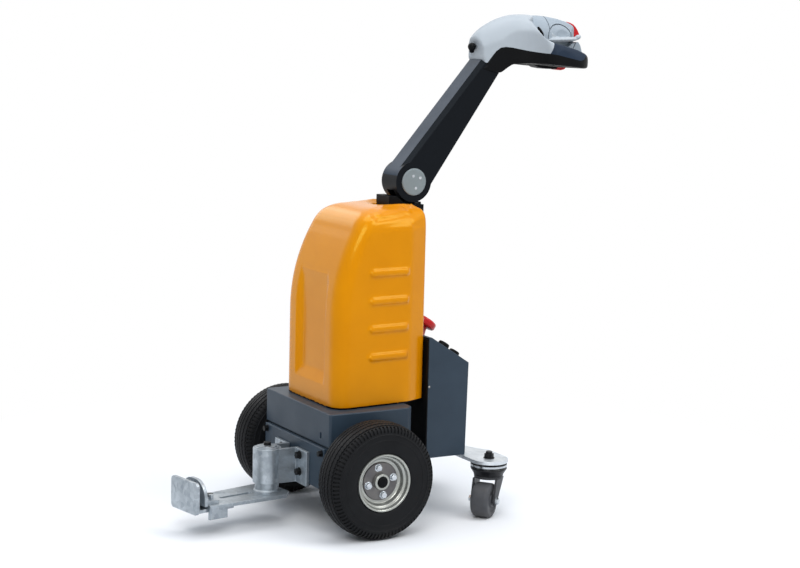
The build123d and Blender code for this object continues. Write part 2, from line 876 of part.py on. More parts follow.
# Castors: a swivelling housing with a fork, and a broad wheel on its bolt
housing_top = box_bottom - plate_thickness - housing_gap
for side, sign in sides:
    stem = Vector(from_axle(castor_x), sign * castor_y, 0)
    turn = radians(castor_swivel)
    trail = Vector(-cos(turn), -sin(turn), 0)
    across = Vector(sin(turn), -cos(turn), 0)
    wheel_centre = stem + trail * castor_trail + Vector(0, 0, castor_wheel_radius)
    fork_inner = castor_wheel_half_width + fork_gap
    fork_outer = fork_inner + fork_thickness
    waist_z = housing_top - housing_height

    with BuildPart() as housing:
        with BuildSketch(Plane(origin=stem, x_dir=(1, 0, 0), z_dir=(0, -1, 0))):
            with BuildLine():
                Polyline(
                    (0, waist_z),
                    (housing_waist, waist_z),
                    (housing_radius, housing_top - housing_rim_height),
                    (housing_radius, housing_top),
                    (castor_stem_radius, housing_top),
                    (castor_stem_radius, box_bottom + castor_stem_head),
                    (0, box_bottom + castor_stem_head),
                    close=True,
                )
            make_face()
        revolve(axis=Axis(stem, (0, 0, 1)))
    save(housing, f"castor_housing_{side}")

    crown_bottom = waist_z - fork_thickness
    with BuildPart() as fork:
        with BuildSketch(Plane.XY.offset(crown_bottom)):
            with Locations((stem.X, stem.Y)):
                Circle(fork_crown_radius)
        extrude(amount=fork_thickness)
        for flank in (1, -1):
            leg_plane = Plane(origin=stem + across * flank * fork_inner, x_dir=-trail, z_dir=across * flank)
            up = leg_plane.y_dir.Z
            with BuildSketch(leg_plane):
                with BuildLine():
                    Polyline(
                        (-fork_foot_half - castor_trail, up * castor_wheel_radius),
                        (-fork_root_half, up * crown_bottom),
                        (fork_root_half, up * crown_bottom),
                        (fork_foot_half - castor_trail, up * castor_wheel_radius),
                        close=True,
                    )
                make_face()
                with Locations((-castor_trail, up * castor_wheel_radius)):
                    Circle(fork_foot_half)
            extrude(amount=fork_thickness)
        with BuildSketch(Plane(origin=wheel_centre - across * fork_outer, x_dir=trail, z_dir=across)):
            Circle(castor_axle_radius)
        extrude(amount=2 * fork_outer)
    save(fork, f"castor_fork_{side}")

    with BuildPart() as castor_wheel:
        half = castor_wheel_half_width
        with BuildSketch(Plane(origin=wheel_centre, x_dir=across, z_dir=trail)):
            with BuildLine():
                bore = castor_axle_radius + running_clearance
                Polyline(
                    (half, bore),
                    (half, castor_wheel_radius - castor_wheel_edge),
                    (half - castor_wheel_edge, castor_wheel_radius),
                    (castor_wheel_edge - half, castor_wheel_radius),
                    (-half, castor_wheel_radius - castor_wheel_edge),
                    (-half, bore),
                    close=True,
                )
            make_face()
        revolve(axis=Axis(wheel_centre, across))
    save(castor_wheel, f"castor_wheel_{side}")

# Hitch bracket: a sleeve held by two straps whose flanges bolt to the front plate
pin = (from_axle(-pin_x), 0)
sleeve_height = sleeve_top - sleeve_bottom
with BuildPart() as hitch_bracket:
    with BuildSketch(Plane.XY.offset(sleeve_bottom)):
        with Locations(pin):
            Circle(sleeve_radius)
        for sign in (1, -1):
            reach = front_plate_face - pin[0]
            with Locations((pin[0] + reach / 2, sign * (strap_half_width - strap_thickness / 2))):
                Rectangle(reach, strap_thickness)
            flange_width = flange_half_width - strap_half_width + strap_thickness
            flange_y = flange_half_width - flange_width / 2
            with Locations((front_plate_face - strap_thickness / 2, sign * flange_y)):
                Rectangle(strap_thickness, flange_width)
        with Locations(pin):
            Circle(hitch_pin_radius + running_clearance, mode=Mode.SUBTRACT)
    extrude(amount=sleeve_height)
save(hitch_bracket, "hitch_bracket")

# Swivelling hitch: pin, drawbar with its slot and flaps, and the two plates of the tow jaw
hitch_angle = radians(hitch_turn)
hitch_x = Vector(cos(hitch_angle), sin(hitch_angle), 0)
hitch_y = Vector(-sin(hitch_angle), cos(hitch_angle), 0)


def hitch_plane(height):
    return Plane(origin=(pin[0], pin[1], height), x_dir=hitch_x, z_dir=(0, 0, 1))


with BuildPart() as hitch_pin:
    for radius, low, high in (
        (hitch_pin_radius, drawbar_top - drawbar_thickness, sleeve_top + pin_gap),
        (collar_radius, drawbar_top, sleeve_bottom - pin_gap),
        (boss_radius, sleeve_top + pin_gap, sleeve_top + boss_height),
        (pin_head_radius, sleeve_top + boss_height, sleeve_top + boss_height + pin_head_height),
    ):
        with BuildSketch(hitch_plane(low)):
            Circle(radius)
        extrude(amount=high - low)
save(hitch_pin, "hitch_pin")

drawbar_bottom = drawbar_top - drawbar_thickness
with BuildPart() as drawbar:
    with BuildSketch(hitch_plane(drawbar_bottom)):
        with BuildLine():
            Polyline(
                (drawbar_rear, drawbar_rear_half_width - drawbar_chamfer),
                (drawbar_rear - drawbar_chamfer, drawbar_rear_half_width),
                (-drawbar_length, drawbar_nose_half_width),
                (-drawbar_length, -drawbar_nose_half_width),
                (drawbar_rear - drawbar_chamfer, -drawbar_rear_half_width),
                (drawbar_rear, drawbar_chamfer - drawbar_rear_half_width),
                close=True,
            )
        make_face()
        with Locations((-(slot_start + slot_end) / 2, 0)):
            SlotOverall(slot_end - slot_start, 2 * slot_half_width, mode=Mode.SUBTRACT)
        Circle(hitch_pin_radius, mode=Mode.SUBTRACT)
    extrude(amount=drawbar_thickness)
    for sign in (1, -1):
        with BuildSketch(hitch_plane(drawbar_bottom)):
            flap_y = sign * (drawbar_nose_half_width - drawbar_thickness / 2)
            with Locations((-(flap_start + flap_end) / 2, flap_y)):
                Rectangle(flap_end - flap_start, drawbar_thickness)
        extrude(amount=-flap_drop)
save(drawbar, "drawbar")

jaw_base_half_width = drawbar_nose_half_width - drawbar_thickness - jaw_side_gap
with BuildPart() as jaw_outer:
    with BuildSketch(hitch_plane(drawbar_bottom - jaw_plate)):
        base_length = jaw_length - slot_end + 2 * slot_half_width
        with Locations((-jaw_length + base_length / 2, 0)):
            Rectangle(base_length, 2 * jaw_base_half_width)
    extrude(amount=jaw_plate)
    plate_origin = hitch_plane(0).from_local_coords(Vector(-jaw_length, 0, 0))
    with BuildSketch(Plane(origin=plate_origin, x_dir=hitch_y, z_dir=hitch_x)):
        with Locations((0, (drawbar_bottom - jaw_plate + jaw_top) / 2)):
            RectangleRounded(2 * jaw_half_width, jaw_top - drawbar_bottom + jaw_plate, jaw_corner)
    extrude(amount=jaw_plate)
save(jaw_outer, "jaw_outer")

inner_face = -jaw_length + jaw_plate + jaw_gap
with BuildPart() as jaw_inner:
    plate_origin = hitch_plane(0).from_local_coords(Vector(inner_face, 0, 0))
    with BuildSketch(Plane(origin=plate_origin, x_dir=hitch_y, z_dir=hitch_x)) as inner_plate:
        with Locations((0, (drawbar_top + jaw_top) / 2)):
            Rectangle(2 * drawbar_nose_half_width, jaw_top - drawbar_top)
        fillet(inner_plate.vertices().group_by(Axis.Y)[-1], jaw_round)
    extrude(amount=jaw_plate)
    with BuildSketch(hitch_plane(drawbar_top)):
        with Locations((inner_face + jaw_foot / 2, 0)):
            Rectangle(jaw_foot, 2 * (drawbar_nose_half_width - jaw_foot_margin))
    extrude(amount=jaw_plate)
    with BuildSketch(hitch_plane(drawbar_top + jaw_plate)):
        for sign in (1, -1):
            with Locations((inner_face + jaw_foot - jaw_bolt_setback, sign * jaw_bolt_half_spacing)):
                RegularPolygon(jaw_bolt_radius, 6)
    extrude(amount=jaw_bolt_height - jaw_plate)
save(jaw_inner, "jaw_inner")
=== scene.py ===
from math import atan2, cos, pi, radians, sin, sqrt

import bmesh
import bpy
from mathutils import Matrix, Vector


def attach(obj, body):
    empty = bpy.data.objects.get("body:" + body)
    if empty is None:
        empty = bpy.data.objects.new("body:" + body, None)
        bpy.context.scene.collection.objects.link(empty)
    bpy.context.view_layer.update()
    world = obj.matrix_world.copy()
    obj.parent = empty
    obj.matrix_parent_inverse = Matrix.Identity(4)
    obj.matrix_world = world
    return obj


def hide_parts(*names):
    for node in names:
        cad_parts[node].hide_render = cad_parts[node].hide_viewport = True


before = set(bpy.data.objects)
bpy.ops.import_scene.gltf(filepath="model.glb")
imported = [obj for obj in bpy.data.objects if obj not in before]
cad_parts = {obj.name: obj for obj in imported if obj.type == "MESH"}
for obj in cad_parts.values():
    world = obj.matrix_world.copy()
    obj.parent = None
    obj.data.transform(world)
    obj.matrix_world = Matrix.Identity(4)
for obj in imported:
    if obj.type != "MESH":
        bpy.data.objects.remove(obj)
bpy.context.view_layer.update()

# Walk-behind electric tow tug. The hitch points to -X, the operator walks at +X, the floor is z = 0.
# Lengths are millimetres, measured along X from the wheel axle, and place() turns them into metres.

MM = 0.001
AXLE_X = -125.425


def place(x, y, z):
    return Vector((AXLE_X + x, y, z)) * MM


# Camera

CAMERA_AZIMUTH = radians(-29.71)
CAMERA_ELEVATION = radians(8.13)
CAMERA_ROLL = radians(1.43)
CAMERA_DISTANCE = 4125.4
CAMERA_TARGET = place(173.67, 0, 522.74)
PICTURE_WIDTH = 800
FOCAL_PIXELS = 1786.58
SENSOR_WIDTH = 36.0


def add_camera():
    forward = Vector((
        -sin(CAMERA_AZIMUTH) * cos(CAMERA_ELEVATION),
        cos(CAMERA_AZIMUTH) * cos(CAMERA_ELEVATION),
        -sin(CAMERA_ELEVATION),
    ))
    right = forward.cross(Vector((0, 0, 1))).normalized()
    up = right.cross(forward)
    rolled_right = right * cos(CAMERA_ROLL) + up * sin(CAMERA_ROLL)
    rolled_up = up * cos(CAMERA_ROLL) - right * sin(CAMERA_ROLL)
    data = bpy.data.cameras.new("camera")
    data.sensor_width = SENSOR_WIDTH
    data.lens = FOCAL_PIXELS * SENSOR_WIDTH / PICTURE_WIDTH
    data.clip_end = 100
    camera = bpy.data.objects.new("camera", data)
    bpy.context.scene.collection.objects.link(camera)
    turn = Matrix((rolled_right, rolled_up, -forward)).transposed().to_4x4()
    camera.matrix_world = Matrix.Translation(CAMERA_TARGET - forward * CAMERA_DISTANCE * MM) @ turn
    bpy.context.scene.camera = camera


add_camera()


# Shader node groups for what several finishes share

def new_group(name, inputs, outputs):
    group = bpy.data.node_groups.new(name, "ShaderNodeTree")
    for label, kind, value in inputs:
        socket = group.interface.new_socket(label, in_out="INPUT", socket_type="NodeSocket" + kind)
        socket.default_value = value
    for label, kind in outputs:
        group.interface.new_socket(label, in_out="OUTPUT", socket_type="NodeSocket" + kind)
    return group, group.nodes.new("NodeGroupInput").outputs, group.nodes.new("NodeGroupOutput").inputs


def feed(tree, sockets, links):
    """Links input sockets to the outputs of other nodes, or fills them with values."""
    for socket, value in dict(links).items():
        if isinstance(value, bpy.types.NodeSocket):
            tree.links.new(value, sockets[socket])
        else:
            sockets[socket].default_value = value


def node(tree, kind, links=(), **settings):
    """Adds a shader node, sets its fields and feeds its input sockets."""
    made = tree.nodes.new("ShaderNode" + kind)
    for field, value in settings.items():
        setattr(made, field, value)
    feed(tree, made.inputs, links)
    return made


def noise(tree, scale, detail, roughness):
    coordinates = node(tree, "TexCoord").outputs["Object"]
    links = {"Vector": coordinates, "Scale": scale, "Detail": detail, "Roughness": roughness}
    return node(tree, "TexNoise", links).outputs["Fac"]


def math(tree, operation, a, b=0.0, clamp=False):
    return node(tree, "Math", {0: a, 1: b}, operation=operation, use_clamp=clamp).outputs[0]


def ramp(tree, value, low, high, out_low=0.0, out_high=1.0):
    links = {"Value": value, "From Min": low, "From Max": high, "To Min": out_low, "To Max": out_high}
    return node(tree, "MapRange", links).outputs["Result"]


def mix(tree, factor, a, b):
    return node(tree, "Mix", {0: factor, 6: a, 7: b}, data_type="RGBA").outputs[2]


def make_edge_wear_and_highlight():
    """A mask of outer edges, broken up as handling and knocks break them; on the chassis paint it also
    carries a painted highlight along the bent edges.
    """
    inputs = [("Radius", "Float", 0.0015), ("Amount", "Float", 0.5), ("Break Scale", "Float", 60.0)]
    group, given, out = new_group("edge_wear_and_highlight", inputs, [("Mask", "Float")])
    rounded = node(group, "Bevel", {"Radius": given["Radius"]}, samples=4)
    true_normal = node(group, "NewGeometry").outputs["True Normal"]
    agreement = node(group, "VectorMath", {0: rounded.outputs[0], 1: true_normal}, operation="DOT_PRODUCT")
    edge = ramp(group, agreement.outputs["Value"], 0.985, 0.86)
    broken = ramp(group, noise(group, given["Break Scale"], 4.0, 0.65), 0.42, 0.66)
    mask = math(group, "MULTIPLY", edge, broken)
    feed(group, out, {"Mask": math(group, "MULTIPLY", mask, given["Amount"], clamp=True)})
    return group


def make_grain():
    """A fine surface grain, with a broad unevenness for tone and gloss."""
    inputs = [("Grain Scale", "Float", 900.0), ("Patch Scale", "Float", 9.0)]
    outputs = [("Height", "Float"), ("Patch", "Float")]
    group, given, out = new_group("grain", inputs, outputs)
    height = noise(group, given["Grain Scale"], 3.0, 0.6)
    feed(group, out, {"Height": height, "Patch": noise(group, given["Patch Scale"], 3.0, 0.55)})
    return group


def make_dust():
    """A mask of dust: on what faces up, and up from the floor."""
    inputs = [("Amount", "Float", 0.2), ("Reach", "Float", 0.15), ("Scale", "Float", 30.0)]
    group, given, out = new_group("dust", inputs, [("Mask", "Float")])
    facing = node(group, "SeparateXYZ", {0: node(group, "NewGeometry").outputs["Normal"]}).outputs[2]
    height = node(group, "SeparateXYZ", {0: node(group, "TexCoord").outputs["Object"]}).outputs[2]
    lying = ramp(group, facing, 0.55, 1.0)
    low = ramp(group, height, given["Reach"], 0.0)
    both = math(group, "MAXIMUM", lying, low)
    patchy = ramp(group, noise(group, given["Scale"], 5.0, 0.62), 0.35, 0.75)
    mask = math(group, "MULTIPLY", both, patchy)
    feed(group, out, {"Mask": math(group, "MULTIPLY", mask, given["Amount"], clamp=True)})
    return group


def make_spangle():
    """The frosted crystals of hot-dip zinc: a tone for each, and their outline."""
    inputs = [("Scale", "Float", 110.0)]
    group, given, out = new_group("spangle", inputs, [("Tone", "Float"), ("Cloud", "Float")])
    coordinates = node(group, "TexCoord").outputs["Object"]
    warp = node(group, "TexNoise", {"Vector": coordinates, "Scale": 70.0, "Detail": 2.0}).outputs["Color"]
    shifted = node(group, "VectorMath", {0: warp, "Scale": 0.006}, operation="SCALE").outputs[0]
    bent = node(group, "VectorMath", {0: coordinates, 1: shifted}, operation="ADD").outputs[0]
    crystals = node(group, "TexVoronoi", {"Vector": bent, "Scale": given["Scale"], "Randomness": 1.0})
    tone = node(group, "SeparateColor", {0: crystals.outputs["Color"]}).outputs[0]
    feed(group, out, {"Tone": tone, "Cloud": noise(group, 22.0, 4.0, 0.6)})
    return group


EDGE_WEAR_AND_HIGHLIGHT = make_edge_wear_and_highlight()
GRAIN = make_grain()
DUST = make_dust()
SPANGLE = make_spangle()


def use_group(tree, group, **values):
    made = tree.nodes.new("ShaderNodeGroup")
    made.node_tree = group
    for label, value in values.items():
        made.inputs[label.replace("_", " ")].default_value = value
    return made.outputs


def rgb(red, green, blue):
    """A colour as an eye reads it, 0 to 255, in the renderer's linear scale."""
    linear = []
    for channel in (red, green, blue):
        share = channel / 255
        linear.append(share / 12.92 if share <= 0.04045 else ((share + 0.055) / 1.055) ** 2.4)
    return (*linear, 1.0)


DUST_COLOUR = rgb(150, 145, 136)
BUMP_HEIGHT = 0.001


def new_material(name):
    material = bpy.data.materials.new(name)
    material.use_nodes = True
    return material, material.node_tree, material.node_tree.nodes["Principled BSDF"]


def surface_bump(tree, height, strength):
    return node(tree, "Bump", {"Height": height, "Strength": strength, "Distance": BUMP_HEIGHT}).outputs[0]


def finish(name, colour, shade, rough, bump=0.02, grain_scale=900.0, patch_scale=9.0, metallic=0.0,
           wear_and_highlight=0.0, wear_and_highlight_colour=None, dust=0.0, dust_reach=0.12,
           coat=0.0, coat_roughness=0.05, ior=1.5, specular=0.22, tint=(1, 1, 1, 1)):
    """A painted, moulded or plain metal finish with uneven tone and gloss, grain, worn edges and dust; on the
    chassis paint the pale edge colour is also a painted highlight along the bends.
    """
    material, tree, shader = new_material(name)
    grain = use_group(tree, GRAIN, Grain_Scale=grain_scale, Patch_Scale=patch_scale)
    patch = ramp(tree, grain["Patch"], 0.3, 0.7)
    tone = mix(tree, patch, colour, shade)
    roughness = ramp(tree, grain["Patch"], 0.3, 0.7, rough[0], rough[1])
    if wear_and_highlight:
        worn_and_lit = use_group(tree, EDGE_WEAR_AND_HIGHLIGHT, Amount=wear_and_highlight)["Mask"]
        tone = mix(tree, worn_and_lit, tone, wear_and_highlight_colour or shade)
    if dust:
        dusty = use_group(tree, DUST, Amount=dust, Reach=dust_reach)["Mask"]
        tone = mix(tree, dusty, tone, DUST_COLOUR)
        roughness = math(tree, "ADD", roughness, math(tree, "MULTIPLY", dusty, 0.4), clamp=True)
    feed(tree, shader.inputs, {
        "Base Color": tone, "Roughness": roughness, "Normal": surface_bump(tree, grain["Height"], bump),
        "Metallic": metallic, "Coat Weight": coat, "Coat Roughness": coat_roughness, "IOR": ior,
        "Specular IOR Level": specular, "Specular Tint": tint,
    })
    return material


def galvanised_finish(name, light, dark):
    """Hot-dip zinc: pale and dark crystals under a broad clouding, duller where it is dark."""
    material, tree, shader = new_material(name)
    spangle = use_group(tree, SPANGLE, Scale=95.0)
    blotch = ramp(tree, spangle["Cloud"], 0.32, 0.68)
    crystal = ramp(tree, spangle["Tone"], 0.0, 1.0, 0.0, 0.45)
    tone = mix(tree, math(tree, "ADD", math(tree, "MULTIPLY", blotch, 0.6), crystal, clamp=True), light, dark)
    dusty = use_group(tree, DUST, Amount=0.25, Reach=0.06)["Mask"]
    tone = mix(tree, dusty, tone, DUST_COLOUR)
    roughness = math(tree, "ADD", math(tree, "MULTIPLY", spangle["Tone"], 0.14), 0.30)
    roughness = math(tree, "ADD", roughness, math(tree, "MULTIPLY", blotch, 0.12))
    feed(tree, shader.inputs, {
        "Base Color": tone, "Roughness": roughness, "Normal": surface_bump(tree, spangle["Cloud"], 0.15),
        "Metallic": 0.85,
    })
    return material


BARE_STEEL = rgb(168, 168, 166)

amber = finish("cover_amber", rgb(216, 134, 0), rgb(210, 128, 0), (0.15, 0.22), bump=0.01, grain_scale=260.0,
               specular=0.55, tint=(0.9, 1.0, 0.2, 1), ior=1.42, dust=0.02, dust_reach=0.0)
# the pale edge colour on the chassis paint is partly worn paint and partly a painted highlight along the
# deck's bends
slate = finish("chassis_slate", rgb(48, 62, 75), rgb(42, 55, 67), (0.36, 0.46), bump=0.06, grain_scale=1100.0,
               wear_and_highlight=0.55, wear_and_highlight_colour=rgb(140, 150, 158), dust=0.08, dust_reach=0.16, specular=0.25)
black_plastic = finish("black_plastic", rgb(14, 15, 17), rgb(10, 11, 12), (0.36, 0.48), bump=0.05,
                       grain_scale=1500.0, dust=0.02, dust_reach=0.0, specular=0.08)
# The arm is one black moulding; the lighter blue-grey copy for its front face is a painted sheen, standing
# for the light the front face catches.
arm_black, arm_sheen_face = (
    finish(name, colour, shade, (0.30, 0.40), bump=0.05, grain_scale=1300.0, wear_and_highlight=0.2,
           wear_and_highlight_colour=rgb(60, 68, 78), dust=0.02, dust_reach=0.0, specular=0.12, tint=(0.75, 0.88, 1.0, 1))
    for name, colour, shade in (
        ("arm_moulding", rgb(13, 15, 19), rgb(10, 11, 14)),
        ("arm_front_painted_sheen", rgb(34, 48, 64), rgb(28, 41, 56)),
    )
)
light_grey = finish("hood_grey", rgb(173, 180, 185), rgb(165, 172, 178), (0.34, 0.44), bump=0.03,
                    grain_scale=1400.0, dust=0.03, dust_reach=0.0)
# a darker copy of the hood's grey: painted shade for the console's sideways-facing sides
console_shaded_grey = finish("console_painted_shade_grey", rgb(156, 166, 174), rgb(148, 158, 167), (0.36, 0.46), bump=0.03,
                    grain_scale=1400.0, dust=0.03, dust_reach=0.0)
cap_grey = finish("cap_grey", rgb(132, 141, 143), rgb(121, 130, 133), (0.42, 0.55), bump=0.08,
                  grain_scale=700.0, metallic=0.2)
grip_rubber = finish("grip_rubber", rgb(36, 48, 64), rgb(30, 41, 56), (0.48, 0.60), bump=0.12,
                     grain_scale=800.0, specular=0.15)
tyre_rubber = finish("tyre_rubber", rgb(21, 22, 24), rgb(16, 17, 19), (0.50, 0.66), bump=0.10,
                     grain_scale=700.0, patch_scale=14.0, dust=0.08, dust_reach=0.04, specular=0.14)
rim_zinc = finish("rim_zinc", rgb(176, 178, 172), rgb(158, 160, 156), (0.24, 0.36), bump=0.03,
                  grain_scale=500.0, patch_scale=24.0, metallic=0.8, dust=0.12, dust_reach=0.0)
flange_steel = finish("flange_steel", rgb(112, 110, 108), rgb(90, 89, 92), (0.30, 0.44), bump=0.05,
                      grain_scale=420.0, patch_scale=30.0, metallic=0.75)
bolt_zinc = finish("bolt_zinc", rgb(205, 210, 214), rgb(176, 182, 188), (0.18, 0.30), bump=0.03,
                   patch_scale=80.0, metallic=0.95)
black_bolt = finish("black_bolt", rgb(26, 27, 29), rgb(17, 18, 19), (0.28, 0.42), bump=0.03,
                    patch_scale=80.0, metallic=0.4)
axle_steel = finish("axle_steel", BARE_STEEL, rgb(140, 140, 138), (0.25, 0.4), bump=0.03, patch_scale=40.0,
                    metallic=0.95)
drive_casting = finish("drive_casting", rgb(70, 72, 74), rgb(56, 58, 60), (0.5, 0.65), bump=0.3,
                       grain_scale=420.0, metallic=0.4, dust=0.2)
battery_case = finish("battery_case", rgb(44, 46, 50), rgb(36, 38, 42), (0.45, 0.6), bump=0.1)
signal_red = finish("signal_red", rgb(200, 18, 24), rgb(184, 12, 18), (0.28, 0.38), bump=0.03, coat=0.2,
                    coat_roughness=0.1, dust=0.03, dust_reach=0.0)
castor_grey = finish("castor_tread", rgb(78, 79, 82), rgb(68, 69, 72), (0.42, 0.58), bump=0.10,
                     grain_scale=650.0, patch_scale=18.0, dust=0.25, dust_reach=0.03)
castor_fork_grey = finish("castor_fork", rgb(66, 67, 69), rgb(56, 57, 60), (0.34, 0.48), bump=0.05,
                          grain_scale=500.0, patch_scale=22.0, metallic=0.2, dust=0.2, dust_reach=0.05)
housing_black = finish("castor_housing", rgb(26, 27, 30), rgb(19, 20, 23), (0.25, 0.38), bump=0.05,
                       metallic=0.2, wear_and_highlight=0.5, wear_and_highlight_colour=BARE_STEEL, dust=0.12, dust_reach=0.08)
galvanised = galvanised_finish("galvanised", rgb(186, 194, 200), rgb(140, 149, 157))
# a lighter copy of the galvanised zinc: painted light on the castor plate
lit_plate_zinc = galvanised_finish("lit_plate_zinc", rgb(226, 231, 235), rgb(202, 209, 215))


# Modelling helpers

def deselect():
    bpy.ops.object.select_all(action="DESELECT")


def open_piece(name):
    """Names a new primitive, settles its place into its mesh and opens it for editing."""
    piece = bpy.context.object
    piece.name = piece.data.name = name
    bpy.ops.object.transform_apply(location=True, rotation=True, scale=True)
    bpy.ops.object.mode_set(mode="EDIT")
    return piece


def close_piece():
    bpy.ops.object.mode_set(mode="OBJECT")


def pick(test, kind="FACE"):
    """Selects, in edit mode, the faces, edges or vertices whose middle, in millimetres, passes a test."""
    mesh = bmesh.from_edit_mesh(bpy.context.object.data)
    bpy.ops.mesh.select_mode(type=kind)
    bpy.ops.mesh.select_all(action="DESELECT")
    items, middle = {
        "FACE": (mesh.faces, lambda face: face.calc_center_median()),
        "EDGE": (mesh.edges, lambda edge: (edge.verts[0].co + edge.verts[1].co) / 2),
        "VERT": (mesh.verts, lambda vertex: vertex.co),
    }[kind]
    found = [item for item in items if test(middle(item) / MM - Vector((AXLE_X, 0, 0)), item)]
    for item in found:
        item.select_set(True)
    mesh.select_flush_mode()
    bmesh.update_edit_mesh(bpy.context.object.data)
    return bool(found)


def select_all():
    bpy.ops.mesh.select_all(action="SELECT")


def move(x=0.0, y=0.0, z=0.0):
    bpy.ops.transform.translate(value=(x * MM, y * MM, z * MM))


def mend(threshold=0.02):
    select_all()
    bpy.ops.mesh.remove_doubles(threshold=threshold * MM)
    bpy.ops.mesh.normals_make_consistent(inside=False)


def apply_modifier(piece, kind, **settings):
    modifier = piece.modifiers.new(kind.lower(), kind)
    for field, value in settings.items():
        setattr(modifier, field, value)
    bpy.context.view_layer.objects.active = piece
    bpy.ops.object.modifier_apply(modifier=modifier.name)


def round_edges(piece, width, segments=2, above=30):
    """Rounds the edges that turn by more than an angle in degrees."""
    apply_modifier(piece, "BEVEL", width=width * MM, segments=segments, limit_method="ANGLE",
                   angle_limit=radians(above))


def cut(piece, cutter, operation="DIFFERENCE"):
    apply_modifier(piece, "BOOLEAN", object=cutter, operation=operation, solver="EXACT")
    bpy.data.objects.remove(cutter)


def remould(piece, voxel, smoothing):
    """A closed piece given one even skin, its edges rounded as a moulding's are."""
    apply_modifier(piece, "REMESH", mode="VOXEL", voxel_size=voxel * MM)
    if smoothing:
        apply_modifier(piece, "SMOOTH", factor=0.5, iterations=smoothing)


def copy_of(piece, name):
    twin = bpy.data.objects.new(name, piece.data.copy())
    twin.data.name = name
    bpy.context.scene.collection.objects.link(twin)
    return twin


def activate(piece):
    deselect()
    piece.select_set(True)
    bpy.context.view_layer.objects.active = piece


def edit(piece):
    activate(piece)
    bpy.ops.object.mode_set(mode="EDIT")


def join(pieces, name):
    activate(pieces[0])
    for piece in pieces[1:]:
        piece.select_set(True)
    bpy.ops.object.join()
    joined = bpy.context.object
    joined.name = joined.data.name = name
    return joined


def dress(piece, material, body, nodes=(), smooth=35, weighted=True):
    """Gives a finished piece its shading, material, body and the nodes it stands for."""
    activate(piece)
    bpy.ops.object.shade_smooth_by_angle(angle=radians(smooth))
    if weighted:
        apply_modifier(piece, "WEIGHTED_NORMAL", keep_sharp=True, weight=60)
    piece.data.materials.clear()
    for made in material if isinstance(material, (list, tuple)) else [material]:
        piece.data.materials.append(made)
    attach(piece, body)
    if nodes:
        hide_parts(*nodes)
    return piece


def softened(node_name, width=1.0, segments=2, above=30):
    """A merged copy of a CAD node with its edges rounded."""
    piece = copy_of(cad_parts[node_name], "tug_" + node_name)
    activate(piece)
    if piece.data.has_custom_normals:
        bpy.ops.mesh.customdata_custom_splitnormals_clear()
    edit(piece)
    select_all()
    bpy.ops.mesh.remove_doubles(threshold=0.01 * MM)
    bpy.ops.mesh.dissolve_limited(angle_limit=radians(0.6))
    close_piece()
    if width:
        round_edges(piece, width, segments, above)
    return piece


def mark_faces(piece, test):
    """Gives the faces that pass a test the second of the piece's materials."""
    for face in piece.data.polygons:
        if test(face):
            face.material_index = 1


def chain(name, points, closed=True):
    """A line of edges drawn from point to point, left open for editing."""
    deselect()
    bpy.ops.mesh.primitive_plane_add(size=MM, location=points[0])
    piece = open_piece(name)
    bpy.ops.mesh.select_mode(type="VERT")
    select_all()
    bpy.ops.mesh.merge(type="CENTER")
    ends = list(points[1:]) + ([points[0]] if closed else [])
    start = points[0]
    for end in ends:
        bpy.ops.mesh.extrude_vertices_move(TRANSFORM_OT_translate={"value": end - start})
        start = end
    return piece


def turned(name, profile, centre, axis, steps=64, closed=True, bevel=0.0):
    """A profile of (along, radius) points spun about an axis through a centre, as on a lathe."""
    along = Vector(axis).normalized()
    out = Vector((0, 0, 1)) if abs(along.z) < 0.9 else Vector((1, 0, 0))
    out = (out - along * out.dot(along)).normalized()
    points = [centre + (along * a + out * r) * MM for a, r in profile]
    piece = chain(name, points, closed)
    select_all()
    bpy.ops.mesh.spin(steps=steps, angle=2 * pi, center=centre, axis=along)
    mend()
    close_piece()
    if bevel:
        round_edges(piece, bevel, above=28)
    return piece


def prism(name, outline, depth):
    """A flat outline of points filled and pushed out by a depth vector."""
    piece = chain(name, outline)
    select_all()
    bpy.ops.mesh.remove_doubles(threshold=0.01 * MM)
    select_all()
    bpy.ops.mesh.edge_face_add()
    bpy.ops.mesh.extrude_region_move(TRANSFORM_OT_translate={"value": depth})
    mend()
    close_piece()
    return piece


def block(name, low, high, corner=0.0, segments=6):
    """A box between two corners in millimetres, its upright edges rounded to a corner radius."""
    deselect()
    middle, size = (low + high) / 2, high - low
    bpy.ops.mesh.primitive_cube_add(size=1, location=place(*middle))
    bpy.context.object.scale = [side * MM for side in size]
    piece = open_piece(name)
    if corner:
        pick(lambda p, e: abs(p.z - middle.z) < 1, "EDGE")
        bpy.ops.mesh.bevel(offset=corner * MM, segments=segments)
    close_piece()
    return piece


def ball(name, centre, radii, pitch=0.0):
    """An ellipsoid by its three half sizes, pitched about the Y axis."""
    deselect()
    bpy.ops.mesh.primitive_uv_sphere_add(segments=40, ring_count=24, radius=MM, location=centre,
                                         rotation=(0, radians(pitch), 0))
    bpy.context.object.scale = radii
    piece = open_piece(name)
    close_piece()
    return piece


WASHER_HEIGHT = 1.2


